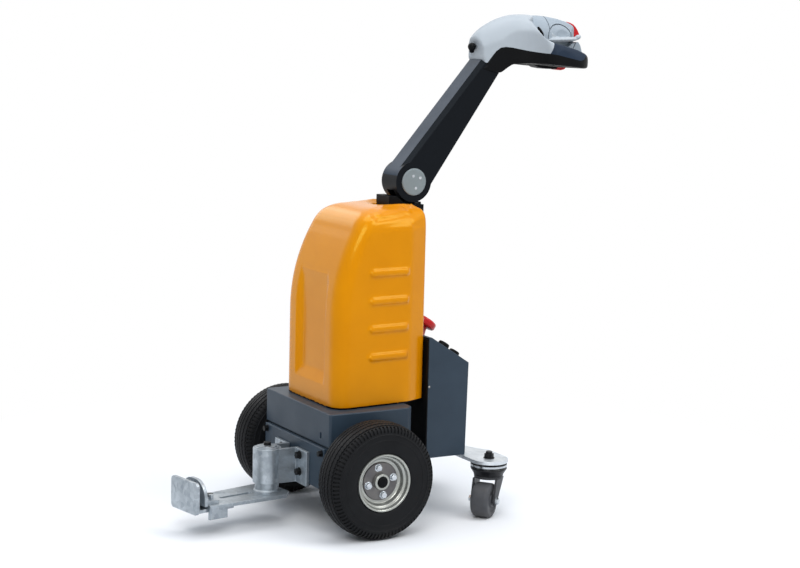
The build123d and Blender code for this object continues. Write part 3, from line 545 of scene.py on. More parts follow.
def bolt(name, centre, axis, size, turn, material, body):
    """A bolt head with a chamfered top on its washer; size is across the flats, head and washer radius."""
    across, head, washer = size
    radius = across / 2 / cos(pi / 6)
    top = WASHER_HEIGHT + head
    deselect()
    bpy.ops.mesh.primitive_cylinder_add(
        vertices=6, radius=radius * MM, depth=head * MM, location=(0, 0, (WASHER_HEIGHT + head / 2) * MM),
        rotation=(0, 0, turn),
    )
    piece = open_piece(name)
    pick(lambda p, f: p.z > top - 0.001)
    bpy.ops.mesh.inset(thickness=0.6 * MM, depth=0.5 * MM)
    bpy.ops.mesh.inset(thickness=radius * 0.28 * MM, depth=0.0)
    close_piece()
    round_edges(piece, 0.25, above=25)
    profile = ((0, 0), (0, washer), (0.9, washer), (WASHER_HEIGHT, washer - 0.4), (WASHER_HEIGHT, 0))
    ring = turned(name + "_washer", profile, Vector((0, 0, 0)), (0, 0, 1), steps=28, closed=False)
    piece = join([piece, ring], name)
    tilt = Vector((0, 0, 1)).rotation_difference(Vector(axis).normalized())
    piece.data.transform(Matrix.Translation(centre) @ tilt.to_matrix().to_4x4())
    dress(piece, material, body, smooth=30)


# Cover: ring upon ring from the deck to the crown, with its recess, ribs, scoop and opening

COVER_BOTTOM = 268.5
# the top of the black band at the cover's foot, a painted shadow line
COVER_SHADOW_LINE_TOP = 271.6
COVER_VOXEL = 2.4
COVER_FRONT = -57.0
COVER_REAR = 185.5
COVER_HALF_WIDTH = 132.5
COVER_KINK = 138.0
COVER_KINK_HALF = 115.0
COVER_REAR_HALF = 95.0
COVER_SLOPE = (COVER_HALF_WIDTH - COVER_KINK_HALF) / (COVER_KINK - COVER_FRONT)
COVER_LEAN_START = 470.0
COVER_SHOULDER = 660.0
COVER_LEAN_RADIUS = 385.0
COVER_CROWN = (
    # height above the shoulder, front setback, side inset, rear inset, rear corner kept out, tilt in degrees
    (9.0, 54.5, 1.2, 0.0, 1.0, 0.2),
    (18.0, 59.5, 3.6, 0.0, 3.0, 0.5),
    (26.0, 65.0, 7.0, 0.2, 5.5, 0.8),
    (33.5, 72.5, 11.8, 0.6, 8.5, 1.2),
    (39.5, 81.5, 18.0, 1.6, 11.5, 1.7),
    (44.0, 90.0, 25.0, 3.6, 13.5, 2.2),
    (47.2, 99.0, 33.5, 7.0, 14.0, 2.7),
    (49.2, 111.0, 42.5, 12.5, 13.0, 3.1),
    (50.3, 125.0, 52.0, 20.0, 10.0, 3.5),
)
RECESS_HALF = 72.0
RECESS_BOTTOM = 318.0
RECESS_TOP = 573.0
RECESS_FLOOR = -44.0
RECESS_BEVEL = 13.0
RECESS_SILL = 9.0
WELL = (Vector((112.0, -38.0, 668.0)), Vector((212.0, 38.0, 748.0)))
WELL_CORNER = 11.0
SCOOP_CENTRE = (150.0, 0.0, 746.0)
SCOOP_RADII = (96.0, 80.0, 46.0)
RIB_HEIGHTS = (381.0, 443.8, 506.6, 569.4)
RIB_FRONT = 23.0
RIB_SHOULDER = 37.0
RIB_REAR = 131.0
RIB_HALF = 9.2
RIB_SLOPE = 3.6
RIB_DEPTH = 6.2
RIB_WALL_START = -20.0
LEAN_STEPS = 10
RING_DEPTH = 12.0
FRONT_DEPTH = 42.0
REAR_START = COVER_KINK + 20.0
NO_CHANGE = (0.0, 0.0, 0.0, 0.0, 0.0)


def split(test, x=None, y=None, z=None, slant=None):
    """Cuts the picked faces with a plane across X, Y or Z, or with a given point and normal."""
    if not pick(test):
        return
    if slant:
        point, normal = slant
    elif x is not None:
        point, normal = place(x, 0, 0), Vector((1, 0, 0))
    elif y is not None:
        point, normal = place(0, y, 0), Vector((0, 1, 0))
    else:
        point, normal = place(0, 0, z), Vector((0, 0, 1))
    bpy.ops.mesh.bisect(plane_co=point, plane_no=normal, threshold=1e-6)


def lean_setback(height):
    rise = max(0.0, height - COVER_LEAN_START)
    return COVER_LEAN_RADIUS - sqrt(COVER_LEAN_RADIUS**2 - rise**2)


def start_cover():
    """The cover's plan: straight sides, drawn in behind a kink, with rounded front corners."""
    deselect()
    length = COVER_REAR - COVER_FRONT
    bpy.ops.mesh.primitive_plane_add(size=1, location=place(COVER_FRONT + length / 2, 0, COVER_BOTTOM))
    bpy.context.object.scale = (length * MM, 2 * COVER_HALF_WIDTH * MM, 1)
    cover = open_piece("tug_cover")
    at_front = lambda p, v: p.x < 0
    at_kink = lambda p, v: abs(p.x - COVER_KINK) < 1
    at_rear = lambda p, v: p.x > COVER_REAR - 1
    split(lambda p, f: True, x=COVER_KINK)
    for test, half_width in ((at_kink, COVER_KINK_HALF), (at_rear, COVER_REAR_HALF)):
        pick(test, "VERT")
        bpy.ops.transform.resize(value=(1, half_width / COVER_HALF_WIDTH, 1),
                                 center_override=place(0, 0, COVER_BOTTOM))
    select_all()
    bpy.ops.mesh.dissolve_faces()
    for test, radius, steps in ((at_front, 37.0, 9), (at_kink, 4.0, 2), (at_rear, 4.0, 3)):
        pick(test, "VERT")
        bpy.ops.mesh.bevel(offset=radius * MM, segments=steps, affect="VERTICES", profile=0.5)
    return cover


def cover_rows():
    """Each ring's height and shape, from the foot of the leaning front to the top of the crown."""
    rows = [(COVER_LEAN_START, *NO_CHANGE)]
    for step in range(1, LEAN_STEPS + 1):
        height = COVER_LEAN_START + (COVER_SHOULDER - COVER_LEAN_START) * step / LEAN_STEPS
        rows.append((height, lean_setback(height), *NO_CHANGE[1:]))
    return rows + [(COVER_SHOULDER + rise, *shape) for rise, *shape in COVER_CROWN]


def raise_cover():
    """Pulls the plan up ring by ring and shapes each new ring by what changes from the last."""
    last_height, last = COVER_BOTTOM, NO_CHANGE
    pick(lambda p, f: True)
    for height, *shape in cover_rows():
        rise = Vector((0, 0, (height - last_height) * MM))
        bpy.ops.mesh.extrude_region_move(TRANSFORM_OT_translate={"value": rise})
        ring = lambda p: p.z > height - RING_DEPTH and p.z > last_height + 0.5
        front_line = COVER_FRONT + last[0] + FRONT_DEPTH
        back, inward, rear, outward, tilt = (new - old for new, old in zip(shape, last))
        for sign in (1, -1):
            pick(lambda p, v: ring(p) and p.x < front_line and p.y * sign > 0, "VERT")
            move(x=back, y=-sign * COVER_SLOPE * back)
            pick(lambda p, v: ring(p) and p.y * sign > 0, "VERT")
            move(y=-sign * inward)
            pick(lambda p, v: ring(p) and p.y * sign > 0 and p.x > REAR_START, "VERT")
            move(y=sign * outward)
        pick(lambda p, v: ring(p) and p.x > REAR_START, "VERT")
        move(x=-rear)
        pick(lambda p, v: ring(p), "VERT")
        bpy.ops.mesh.select_mode(type="FACE")
        if tilt:
            hinge = place(COVER_FRONT + shape[0], 0, height)
            bpy.ops.transform.rotate(value=radians(tilt), orient_axis="Y", center_override=hinge)
        last_height, last = height, shape
    mend(0.005)


def press_recess():
    """The recess in the front, its floor upright while the front leans away from it."""
    front = lambda p, f: (f.normal.x < -0.75 and abs(f.normal.y) < 0.02
                          and COVER_BOTTOM < p.z < COVER_SHOULDER)
    for y in (RECESS_HALF, -RECESS_HALF):
        split(front, y=y)
    for z in (RECESS_BOTTOM, RECESS_TOP):
        split(front, z=z)
    pick(lambda p, f: front(p, f) and abs(p.y) < RECESS_HALF and RECESS_BOTTOM < p.z < RECESS_TOP)
    bpy.ops.mesh.inset(thickness=RECESS_BEVEL * MM, depth=0)
    edge = RECESS_BEVEL - 1
    floor = lambda p, v: (abs(p.y) < RECESS_HALF - edge and RECESS_BOTTOM + edge < p.z < RECESS_TOP - edge
                          and p.x < 0)
    pick(floor, "VERT")
    bpy.ops.transform.resize(value=(0, 1, 1), center_override=place(RECESS_FLOOR, 0, 0))
    pick(lambda p, v: floor(p, v) and p.z < RECESS_BOTTOM + edge + 2, "VERT")
    move(z=RECESS_SILL)


def press_ribs(sign):
    """Four ribs along one side, each with a pointed front end."""
    wall = lambda p, f: (f.normal.y * sign > 0.9 and abs(f.normal.z) < 0.02 and p.z < COVER_SHOULDER
                         and RIB_WALL_START < p.x < COVER_KINK)
    for x in (RIB_FRONT, RIB_SHOULDER, RIB_REAR):
        split(wall, x=x)
    for centre in RIB_HEIGHTS:
        for z in (centre - RIB_HALF, centre, centre + RIB_HALF):
            split(wall, z=z)
        for side in (1, -1):
            tip = lambda p, f: (wall(p, f) and RIB_FRONT < p.x < RIB_SHOULDER
                                and 0 < (p.z - centre) * side < RIB_HALF)
            slope = Vector((RIB_HALF, 0, -side * (RIB_SHOULDER - RIB_FRONT)))
            split(tip, slant=(place(RIB_FRONT, 0, centre), slope))
    for centre in RIB_HEIGHTS:
        def on_rib(p, f):
            reach = min(1.0, (p.x - RIB_FRONT) / (RIB_SHOULDER - RIB_FRONT))
            return wall(p, f) and RIB_FRONT < p.x < RIB_REAR and abs(p.z - centre) < RIB_HALF * reach
        pick(on_rib)
        bpy.ops.mesh.inset(thickness=RIB_SLOPE * MM, depth=RIB_DEPTH * MM)


def make_cover():
    cover = start_cover()
    raise_cover()
    press_recess()
    for sign in (1, -1):
        press_ribs(sign)
    mend(0.005)
    close_piece()
    remould(cover, COVER_VOXEL, 0)
    # the scoop round the tiller bracket, and the well that the bracket stands in
    cut(cover, ball("scoop_cutter", place(*SCOOP_CENTRE), SCOOP_RADII))
    cut(cover, block("well_cutter", *WELL, WELL_CORNER, segments=5))
    remould(cover, COVER_VOXEL, 7)
    apply_modifier(cover, "DECIMATE", ratio=0.4)
    dress(cover, [amber, black_plastic], "chassis", ["cover"], smooth=60)
    # the faces at the cover's foot take black: a painted shadow line where the cover meets the deck
    mark_faces(cover, lambda face: face.center.z / MM < COVER_SHADOW_LINE_TOP)


make_cover()


# Chassis: folded deck, lower frame, front plate and box

BOX_RIM = 335.0
BOX_REAR = 280.0
BOX_LIFT = 4.5
BOX_REAR_SHIFT = 3.5
DECK_SLOT = (Vector((-101.0, -122.0, 206.5)), Vector((-71.0, -115.0, 220.5)))
DECK_EDGE = 268.4
DECK_ROUNDING = 3.2
BRACKET_FOOT_X = 207.0
BRACKET_FOOT_TOP = 710.0


def make_plates():
    deck = softened("deck", width=0)
    cut(deck, block("slot_cutter", *DECK_SLOT))
    edit(deck)
    pick(lambda p, e: p.z > DECK_EDGE, "EDGE")
    bpy.ops.mesh.bevel(offset=DECK_ROUNDING * MM, segments=4)
    close_piece()
    round_edges(deck, 0.8, above=35)
    dress(deck, slate, "chassis", ["deck"])
    box = softened("control_box", width=1.2, segments=3)
    edit(box)
    pick(lambda p, v: p.z > BOX_RIM, "VERT")
    move(z=BOX_LIFT)
    pick(lambda p, v: p.x > BOX_REAR and p.z > BOX_RIM, "VERT")
    move(x=BOX_REAR_SHIFT)
    close_piece()
    dress(box, slate, "chassis", ["control_box"])
    for name, width, segments, material, slot in (
        ("frame", 1.6, 3, slate, "chassis_paint"),
        ("front_plate", 2.0, 3, slate, "chassis_paint"),
        # the box's front panel in black plastic: painted shade for the deep shade between the cover and the
        # box
        ("box_panel", 0.6, 2, black_plastic, "black_trim"),
        ("column", 1.2, 2, slate, "chassis_paint"),
        ("tiller_bracket", 1.0, 3, [black_plastic, slate], "black_trim"),
    ):
        piece = dress(softened(name, width, segments), material, "chassis", [name])
    # the bracket's foot, behind the cover, is painted with the column
    foot = place(BRACKET_FOOT_X, 0, BRACKET_FOOT_TOP)
    mark_faces(piece, lambda face: face.center.x > foot.x and face.center.z < foot.z)


make_plates()


# Wheels: tyre with its tread, pressed rim, hub with cap, and four bolts

WHEEL_Y = 220.6
TYRE_RADIUS = 130.0
TREAD_PITCHES = 84
TYRE_SIDE = (
    # along the axle from the wheel's middle, radius
    (34.0, 62.2), (37.2, 65.0), (39.8, 69.5), (41.2, 76.0), (41.9, 85.0),
    (41.8, 93.4), (42.5, 94.2), (42.5, 95.8), (41.8, 96.6),
    (41.3, 105.4), (42.1, 106.2), (42.1, 107.8), (41.1, 108.7),
    (40.4, 111.8), (39.0, 116.6), (36.4, 121.2), (32.8, 124.4),
    (31.4, 125.0), (30.6, 122.4), (28.8, 122.8), (28.0, 126.6),
    (20.0, 128.3), (19.2, 125.4), (17.0, 125.6), (16.2, 128.9),
    (7.0, 129.8), (6.2, 126.6), (4.2, 126.6), (3.4, 130.0),
)
RIM_PROFILE = (
    (36.0, 64.4), (38.4, 64.4), (39.9, 63.4), (40.3, 61.8), (39.6, 60.0), (37.6, 58.8), (33.5, 58.0),
    (31.0, 57.2), (29.9, 55.8), (29.4, 53.9), (27.9, 52.4), (25.0, 51.7), (20.4, 51.0), (18.0, 49.6),
    (17.0, 47.4), (17.0, 42.4), (12.0, 42.4), (12.0, 47.0), (9.0, 51.6), (2.0, 53.6), (-30.0, 55.0),
    (-37.6, 58.8), (-39.6, 60.0), (-40.3, 61.8), (-39.9, 63.4), (-38.4, 64.4), (-36.0, 64.4), (-34.0, 62.0),
    (34.0, 62.0),
)
FLANGE_PROFILE = ((11.5, 17.9), (11.5, 43.0), (17.2, 43.0), (19.6, 41.6), (20.0, 40.6), (20.0, 17.9))
HUB_PROFILE = (
    (-30.0, 10.2), (-30.0, 17.0), (-29.0, 18.0), (28.6, 18.0), (30.0, 16.8), (30.0, 13.0), (28.6, 12.2),
    (28.6, 10.2),
)
CAP_PROFILE = ((28.0, 0.0), (28.0, 11.8), (31.6, 11.6), (33.6, 10.2), (34.7, 7.2), (35.0, 3.6), (35.0, 0.0))
BOLT_CIRCLE = 31.5
SHOULDER = (111.9, 124.2)
SHOULDER_Y = 32.5
BLOCK_DEPTH = 2.6
GROOVE_FLOOR = 122.2
GROOVE_Y = 31.6
GROOVE_BEND = 2.0


def make_tyre(name, centre):
    profile = list(TYRE_SIDE) + [(-a, r) for a, r in reversed(TYRE_SIDE)]
    points = [centre + Vector((0, a, r)) * MM for a, r in profile]
    tyre = chain(name, points)
    pitch = 2 * pi / TREAD_PITCHES
    select_all()
    bpy.ops.mesh.spin(steps=4, angle=pitch, center=centre, axis=(0, 1, 0))
    mend()
    middle = centre / MM - Vector((AXLE_X, 0, 0))

    def radius(p):
        return sqrt((p.x - middle.x) ** 2 + (p.z - middle.z) ** 2)

    def turn(p):
        return abs(p.x - middle.x) / radius(p) / pitch

    # gaps between the shoulder's blocks, and a bend in the grooves round the tread
    low, high = SHOULDER
    pick(lambda p, f: low < radius(p) < high and abs(p.y - middle.y) > SHOULDER_Y and 0.2 < turn(p) < 0.72)
    bpy.ops.mesh.inset(thickness=0.3 * MM, depth=-BLOCK_DEPTH * MM)
    pick(lambda p, v: radius(p) > GROOVE_FLOOR and abs(p.y - middle.y) < GROOVE_Y and 0.4 < turn(p) < 0.6,
         "VERT")
    move(y=GROOVE_BEND)
    select_all()
    bpy.ops.mesh.spin(steps=TREAD_PITCHES - 1, dupli=True, angle=pitch * (TREAD_PITCHES - 1), center=centre,
                      axis=(0, 1, 0))
    mend(0.05)
    close_piece()
    return tyre


def make_wheels():
    first = make_tyre("tug_tyre_right", place(0, -WHEEL_Y, TYRE_RADIUS))
    other = copy_of(first, "tug_tyre_left")
    other.data.transform(Matrix.Translation((0, 2 * WHEEL_Y * MM, 0)))
    for side, sign, tyre in (("right", -1, first), ("left", 1, other)):
        body = "wheel_" + side
        centre = place(0, sign * WHEEL_Y, TYRE_RADIUS)
        axis = (0, sign, 0)
        dress(tyre, tyre_rubber, body, ["tyre_" + side], smooth=32, weighted=False)
        rim = turned(f"tug_rim_{side}", RIM_PROFILE, centre, axis, steps=96)
        dress(rim, rim_zinc, body, ["rim_" + side], smooth=40)
        flange = turned(f"tug_wheel_flange_{side}", FLANGE_PROFILE, centre, axis, steps=72)
        dress(flange, flange_steel, body)
        hub = turned(f"tug_hub_{side}", HUB_PROFILE, centre, axis, steps=48, bevel=0.4)
        dress(hub, rim_zinc, body, ["hub_" + side])
        cap = turned(f"tug_hub_cap_{side}", CAP_PROFILE, centre, axis, steps=40, closed=False)
        dress(cap, black_plastic, body, smooth=45)
        for number in range(4):
            angle = radians(12 + 90 * number)
            spot = centre + Vector((cos(angle) * BOLT_CIRCLE, sign * 20.0, sin(angle) * BOLT_CIRCLE)) * MM
            name = f"tug_wheel_bolt_{side}_{number + 1}"
            bolt(name, spot, axis, (12.0, 6.0, 8.6), angle, bolt_zinc, body)


make_wheels()


# Tiller arm with its pivot caps and their screws

PIVOT_X = 183.6
PIVOT_Z = 761.7
TILLER_LEAN = radians(34.5)
ARM_FRONT_NORMAL = Vector((-cos(TILLER_LEAN), 0, sin(TILLER_LEAN)))
ARM_LENGTH = 330.0
ARM_HALF = 34.0
PIVOT_CAP = (
    # outwards from the arm's side, radius
    (-0.5, 0), (-0.5, 31.0), (1.6, 31.0), (2.8, 30.0), (3.3, 28.0), (3.3, 25.5), (2.9, 24.8), (2.9, 0),
)
CAP_SCREW = ((0, 0), (0, 3.4), (0.6, 3.4), (0.7, 3.0), (0.7, 1.2), (0.3, 1.0), (0.3, 0))
CAP_SCREW_SPOTS = ((-3.0, 13.5), (15.0, 9.0), (4.0, -14.0))
CAP_SCREW_OUT = 2.8


def make_tiller():
    arm = softened("tiller_arm", width=1.6, segments=3, above=24)
    dress(arm, [arm_black, arm_sheen_face], "tiller", ["tiller_arm"], smooth=24)
    # the faces turned to the front take the lighter copy: a painted sheen on the arm's front face
    mark_faces(arm, lambda face: face.normal.dot(ARM_FRONT_NORMAL) > 0.97)
    for side, sign in (("right", -1), ("left", 1)):
        centre = place(PIVOT_X, sign * ARM_HALF, PIVOT_Z)
        out = (0, sign, 0)
        cap = turned("tug_pivot_cap_" + side, PIVOT_CAP, centre, out, steps=80, closed=False)
        dress(cap, cap_grey, "tiller", ["pivot_caps"], smooth=40)
        for number, (x, z) in enumerate(CAP_SCREW_SPOTS):
            spot = centre + Vector((x, sign * CAP_SCREW_OUT, z)) * MM
            name = f"tug_cap_screw_{side}_{number + 1}"
            screw = turned(name, CAP_SCREW, spot, out, steps=24, closed=False)
            dress(screw, bolt_zinc, "tiller")


make_tiller()


# Tiller head: a smooth loop parted into hood, grips and lower shell, with a console between the grips

HEAD_X = PIVOT_X + ARM_LENGTH * sin(TILLER_LEAN)
HEAD_Z = PIVOT_Z + ARM_LENGTH * cos(TILLER_LEAN)
DOME_BASE = 1027.0
DOME_ROWS = (
    # along X, top, half width of the half ellipse across
    (346.0, 1078.0, 36.0), (350.0, 1090.0, 38.0), (357.0, 1100.5, 41.0), (368.0, 1110.5, 44.0),
    (382.0, 1120.0, 47.0), (400.0, 1129.0, 54.0), (418.0, 1137.0, 62.0), (436.0, 1143.2, 72.0),
    (454.0, 1146.8, 86.0), (472.0, 1148.2, 106.0), (488.0, 1148.4, 130.0), (508.0, 1147.4, 142.0),
    (529.0, 1145.0, 140.0), (552.0, 1141.6, 136.0), (578.0, 1136.0, 131.0), (600.0, 1129.8, 124.0),
    (616.0, 1122.6, 114.0), (626.0, 1115.0, 106.0), (631.0, 1108.0, 100.0),
)
HOOD_CREST = 1130.0
HOOD_FLATTENING = 0.935
ROOF_ARC = ((14.0, 1150.0), (76.0, 1124.0), (136.0, 1070.0))
ROOF_DROP = 14.0
HEAD_SEAM = (
    (0, 0), (10, 14), (20, 27), (30, 35), (42, 37), (60, 35.5), (97, 28), (118, 24), (170, 13.5),
    (194, 9), (205, 11), (214, 19), (221, 31), (226, 46),
)
HEAD_THROAT = (
    (340, 1092), (351, 1090), (356, 1080), (361, 1062), (359.5, 1046), (364, 1036), (371, 1026), (340, 1020),
)
HEAD_UNDERSIDE = (
    (246, 9), (243, 3), (238, -3.5), (230, -8), (220, -9.5), (188, -7), (140, -3), (100, 0), (63, -3),
    (45, -15), (34, -23.3),
)
HEAD_HALF = 133.0
HEAD_REACH = 150.0
HEAD_FROM = 330.0
HEAD_TO = 650.0
HEAD_LOW = 990.0
HEAD_HIGH = 1170.0
HEAD_VOXEL = 1.8
HEAD_SMOOTHING = 40
NECK_FACE = ((335, 1160), (335, 1020))
NOSE_FACE = ((616.5, 1052), (616.5, 1160))
NOSE_TRIM_X = 606.0
NOSE_TRIM_Z = 1046.0
GAP_FRONT = 491.0
GAP_REAR = 577.0
GAP_INNER = 52.0
GAP_OUTER = 104.0
GAP_CORNER = 22.0
LOOP_TOP = (
    (474, 1180), (478, 1120), (483, 1100), (490, 1089), (500, 1082.5), (522, 1077), (562, 1068), (584, 1060),
    (598, 1053), (608, 1046.5), (615, 1039.5), (640, 1034), (640, 1180),
)
GRIP_SIDE = ((528, 1170), (477, 1020), (660, 1020), (660, 1170))
GRIP_INNER = 60.0
GRIP_OUTER = 160.0
NECK_PLUG = (349.5, 0.0, 1069.5)
NECK_PLUG_TAPER = (
    # the level below which it narrows, the share it narrows to, how far that part drops
    (1068.0, 0.86, 1.5), (1061.5, 0.8, 2.0), (1060.5, 0.7, 2.5),
)
TRIGGER_HOUSING = (
    (508, 1037), (514, 1029), (526, 1023.5), (544, 1021), (577, 1020), (583, 1026), (583, 1040),
)
TRIGGER_HOUSING_HALF = 17.0
TRIGGER_SIDE = ((568, 1034), (571, 1024), (580, 1019), (594, 1017.5), (604, 1020), (611, 1028), (612, 1034))
TRIGGER_HALF = 11.0
CONSOLE_SIDE = (
    (462, 1052), (462, 1098), (468, 1128), (476, 1137), (488, 1142), (505, 1144.6), (522, 1145),
    (540, 1143.2), (566, 1138.5), (586, 1132.5), (598, 1126.5), (608, 1118.5), (616, 1109), (620, 1100),
    (618, 1092), (610, 1080), (604, 1052),
)
CONSOLE_HALF = 60.0
CONSOLE_SEAT = ((505, 0), (504, 12), (499, 26), (489, 39), (474, 49), (474, 52), (650, 52))
CONSOLE_NOSE = 622.0
CONSOLE_NOSE_START = 572.0
CONSOLE_ARCH_HALF = 53.0
CONSOLE_ARCH_BASE = 1085.0
CONSOLE_ARCH_RISE = 62.0
BRIDGE_SIDE = ((556, 1048), (584, 1083), (602, 1086), (608, 1078), (613, 1063), (613, 1048))
BRIDGE_HALF = 68.0
BELLY_SIDE = (
    (588, 1128), (594, 1132.5), (604, 1130.6), (614, 1127), (622, 1120.5), (628, 1113), (633, 1104),
    (634, 1098), (629, 1095), (616, 1098), (606, 1112), (592, 1122),
)
BELLY_HALF = 26.0
SEAM_SLAB = ((532.0, 1112.0), (534.2, 1112.0), (534.2, 1150.0), (532.0, 1150.0))
CONSOLE_DISH = ((566.0, 101.0, 1112.0), (54.0, 54.0, 54.0))
LEVER_PARTS = (
    # name, middle on the left side, half sizes, pitch in degrees
    ("wing", (563.0, 58.0, 1090.5), (41.0, 23.0, 6.5), -3.0),
    ("wing_root", (560.0, 45.0, 1097.0), (30.0, 11.0, 17.0), 0.0),
    ("wing_tip", (598.0, 69.0, 1096.5), (8.0, 8.0, 5.5), -30.0),
)
THUMB_DISH = ((566.0, 60.0, 1122.0), (40.0, 22.0, 29.0))
ROCKER = ((506.0, 50.0, 1106.0), (5.0, 2.8, 15.5), -36.0)
THROTTLE_X = 560.0
THROTTLE_Z = 1092.0
THROTTLE_RADIUS = 32.5
THROTTLE_GROOVE = (
    # along the throttle's axis, radius
    (30, THROTTLE_RADIUS), (30, THROTTLE_RADIUS + 2.4), (70, THROTTLE_RADIUS + 2.4), (70, THROTTLE_RADIUS),
)


def arc_through(first, middle, last, steps):
    """Points along the circle through three points, from the first to the last."""
    (ax, ay), (bx, by), (cx, cy) = first, middle, last
    d = 2 * (ax * (by - cy) + bx * (cy - ay) + cx * (ay - by))
    ux = ((ax**2 + ay**2) * (by - cy) + (bx**2 + by**2) * (cy - ay) + (cx**2 + cy**2) * (ay - by)) / d
    uy = ((ax**2 + ay**2) * (cx - bx) + (bx**2 + by**2) * (ax - cx) + (cx**2 + cy**2) * (bx - ax)) / d
    radius = sqrt((ax - ux) ** 2 + (ay - uy) ** 2)
    low, high = atan2(ay - uy, ax - ux), atan2(cy - uy, cx - ux)
    angles = [low + (high - low) * step / steps for step in range(steps + 1)]
    return [(ux + radius * cos(angle), uy + radius * sin(angle)) for angle in angles]


def head_outline():
    """Half of the head from above, from the neck to the nose."""
    points = [(350.0, 33.5), (378.0, 38.0), (406.0, 46.5)]
    for step in range(1, 9):
        angle = radians(10 * step)
        points.append((406.0 + 84.0 * sin(angle), 46.5 + 84.5 * (1 - cos(angle))))
    points += [(500.0, 131.6), (553.0, HEAD_HALF)]
    for step in range(1, 9):
        angle = radians(90 - 11.25 * step)
        points.append((553.5 + 60.0 * cos(angle), 73.0 + 60.0 * sin(angle)))
    return points


def side_prism(name, points, half):
    outline = [place(x, -half, z) for x, z in points]
    return prism(name, outline, Vector((0, 2 * half * MM, 0)))


def side_band(name, points, sign, inner, outer):
    """A side outline pushed out from an inner to an outer distance on one side only."""
    outline = [place(x, sign * inner, z) for x, z in points]
    return prism(name, outline, Vector((0, sign * (outer - inner) * MM, 0)))


def plan_prism(name, half_points, low, high):
    """A plan outline, mirrored from its half, carried from a lower to an upper level."""
    outline = [place(x, y, low) for x, y in half_points]
    outline += [place(x, -y, low) for x, y in reversed(half_points) if y]
    return prism(name, outline, Vector((0, 0, (high - low) * MM)))


def arch_prism(name, half_points, x0, x1):
    """A symmetric outline across the tug, given by its half from the middle outwards, carried along X."""
    outline = [place(x0, y, z) for y, z in half_points]
    outline += [place(x0, -y, z) for y, z in reversed(half_points)]
    return prism(name, outline, Vector(((x1 - x0) * MM, 0, 0)))


def side_ball(name, sign, middle, radii, pitch=0.0):
    """An ellipsoid on one side, its middle given for the left."""
    x, y, z = middle
    return ball(name, place(x, sign * y, z), radii, pitch)


def on_head(points):
    return [(HEAD_X + x, HEAD_Z + z) for x, z in points]


def blend(pieces, name, voxel=1.6, smoothing=8):
    """Overlapping closed pieces fused into one skin, their meeting edges rounded."""
    fused = join(pieces, name) if len(pieces) > 1 else pieces[0]
    fused.name = fused.data.name = name
    remould(fused, voxel, smoothing)
    return fused


def make_dome():
    """A half-ellipse section carried along X, each row at its own height and width."""
    deselect()
    x, top, half = DOME_ROWS[0]
    bpy.ops.mesh.primitive_circle_add(vertices=40, radius=1, fill_type="NGON",
                                      location=place(x, 0, DOME_BASE), rotation=(0, pi / 2, 0))
    dome = open_piece("head_body")
    select_all()
    grow = (1, half * MM, (top - DOME_BASE) * MM)
    bpy.ops.transform.resize(value=grow, center_override=place(x, 0, DOME_BASE))
    for next_x, next_top, next_half in DOME_ROWS[1:]:
        step = Vector(((next_x - x) * MM, 0, 0))
        bpy.ops.mesh.extrude_region_move(TRANSFORM_OT_translate={"value": step})
        grow = (1, next_half / half, (next_top - DOME_BASE) / (top - DOME_BASE))
        bpy.ops.transform.resize(value=grow, center_override=place(next_x, 0, DOME_BASE))
        x, top, half = next_x, next_top, next_half
    mend()
    close_piece()
    apply_modifier(dome, "SUBSURF", levels=1, render_levels=1)
    return dome


def shape_loop():
    """The dome cut to its plan, roof, underside and throat, with finger gaps and a seat for the console."""
    body = make_dome()
    cut(body, plan_prism("plan_cutter", head_outline(), 1000, 1160), "INTERSECT")
    roof = arc_through(*ROOF_ARC, 12)
    edge = roof[-1][0] + ROOF_DROP
    roof += [(edge, 1030), (edge, 980)]
    cut(body, arch_prism("roof_cutter", roof, HEAD_FROM, HEAD_TO), "INTERSECT")
    over = [*NECK_FACE, *on_head(reversed(HEAD_UNDERSIDE)), *NOSE_FACE]
    cut(body, side_prism("underside_cutter", over, HEAD_REACH), "INTERSECT")
    cut(body, side_prism("throat_cutter", HEAD_THROAT, HEAD_REACH))
    for sign in (1, -1):
        cut(body, side_band("loop_top_cutter", LOOP_TOP, sign, GAP_INNER - 4, GRIP_OUTER))
        right, left = sorted((sign * GAP_INNER, sign * GAP_OUTER))
        gap = Vector((GAP_FRONT, right, HEAD_LOW)), Vector((GAP_REAR, left, HEAD_HIGH))
        cut(body, block("gap_cutter", *gap, GAP_CORNER))
    cut(body, plan_prism("console_seat", CONSOLE_SEAT, 1060, HEAD_HIGH))
    nose = Vector((NOSE_TRIM_X, -HEAD_REACH, NOSE_TRIM_Z)), Vector((HEAD_TO, HEAD_REACH, HEAD_HIGH))
    cut(body, block("nose_trim", *nose))
    remould(body, HEAD_VOXEL, HEAD_SMOOTHING)
    return body


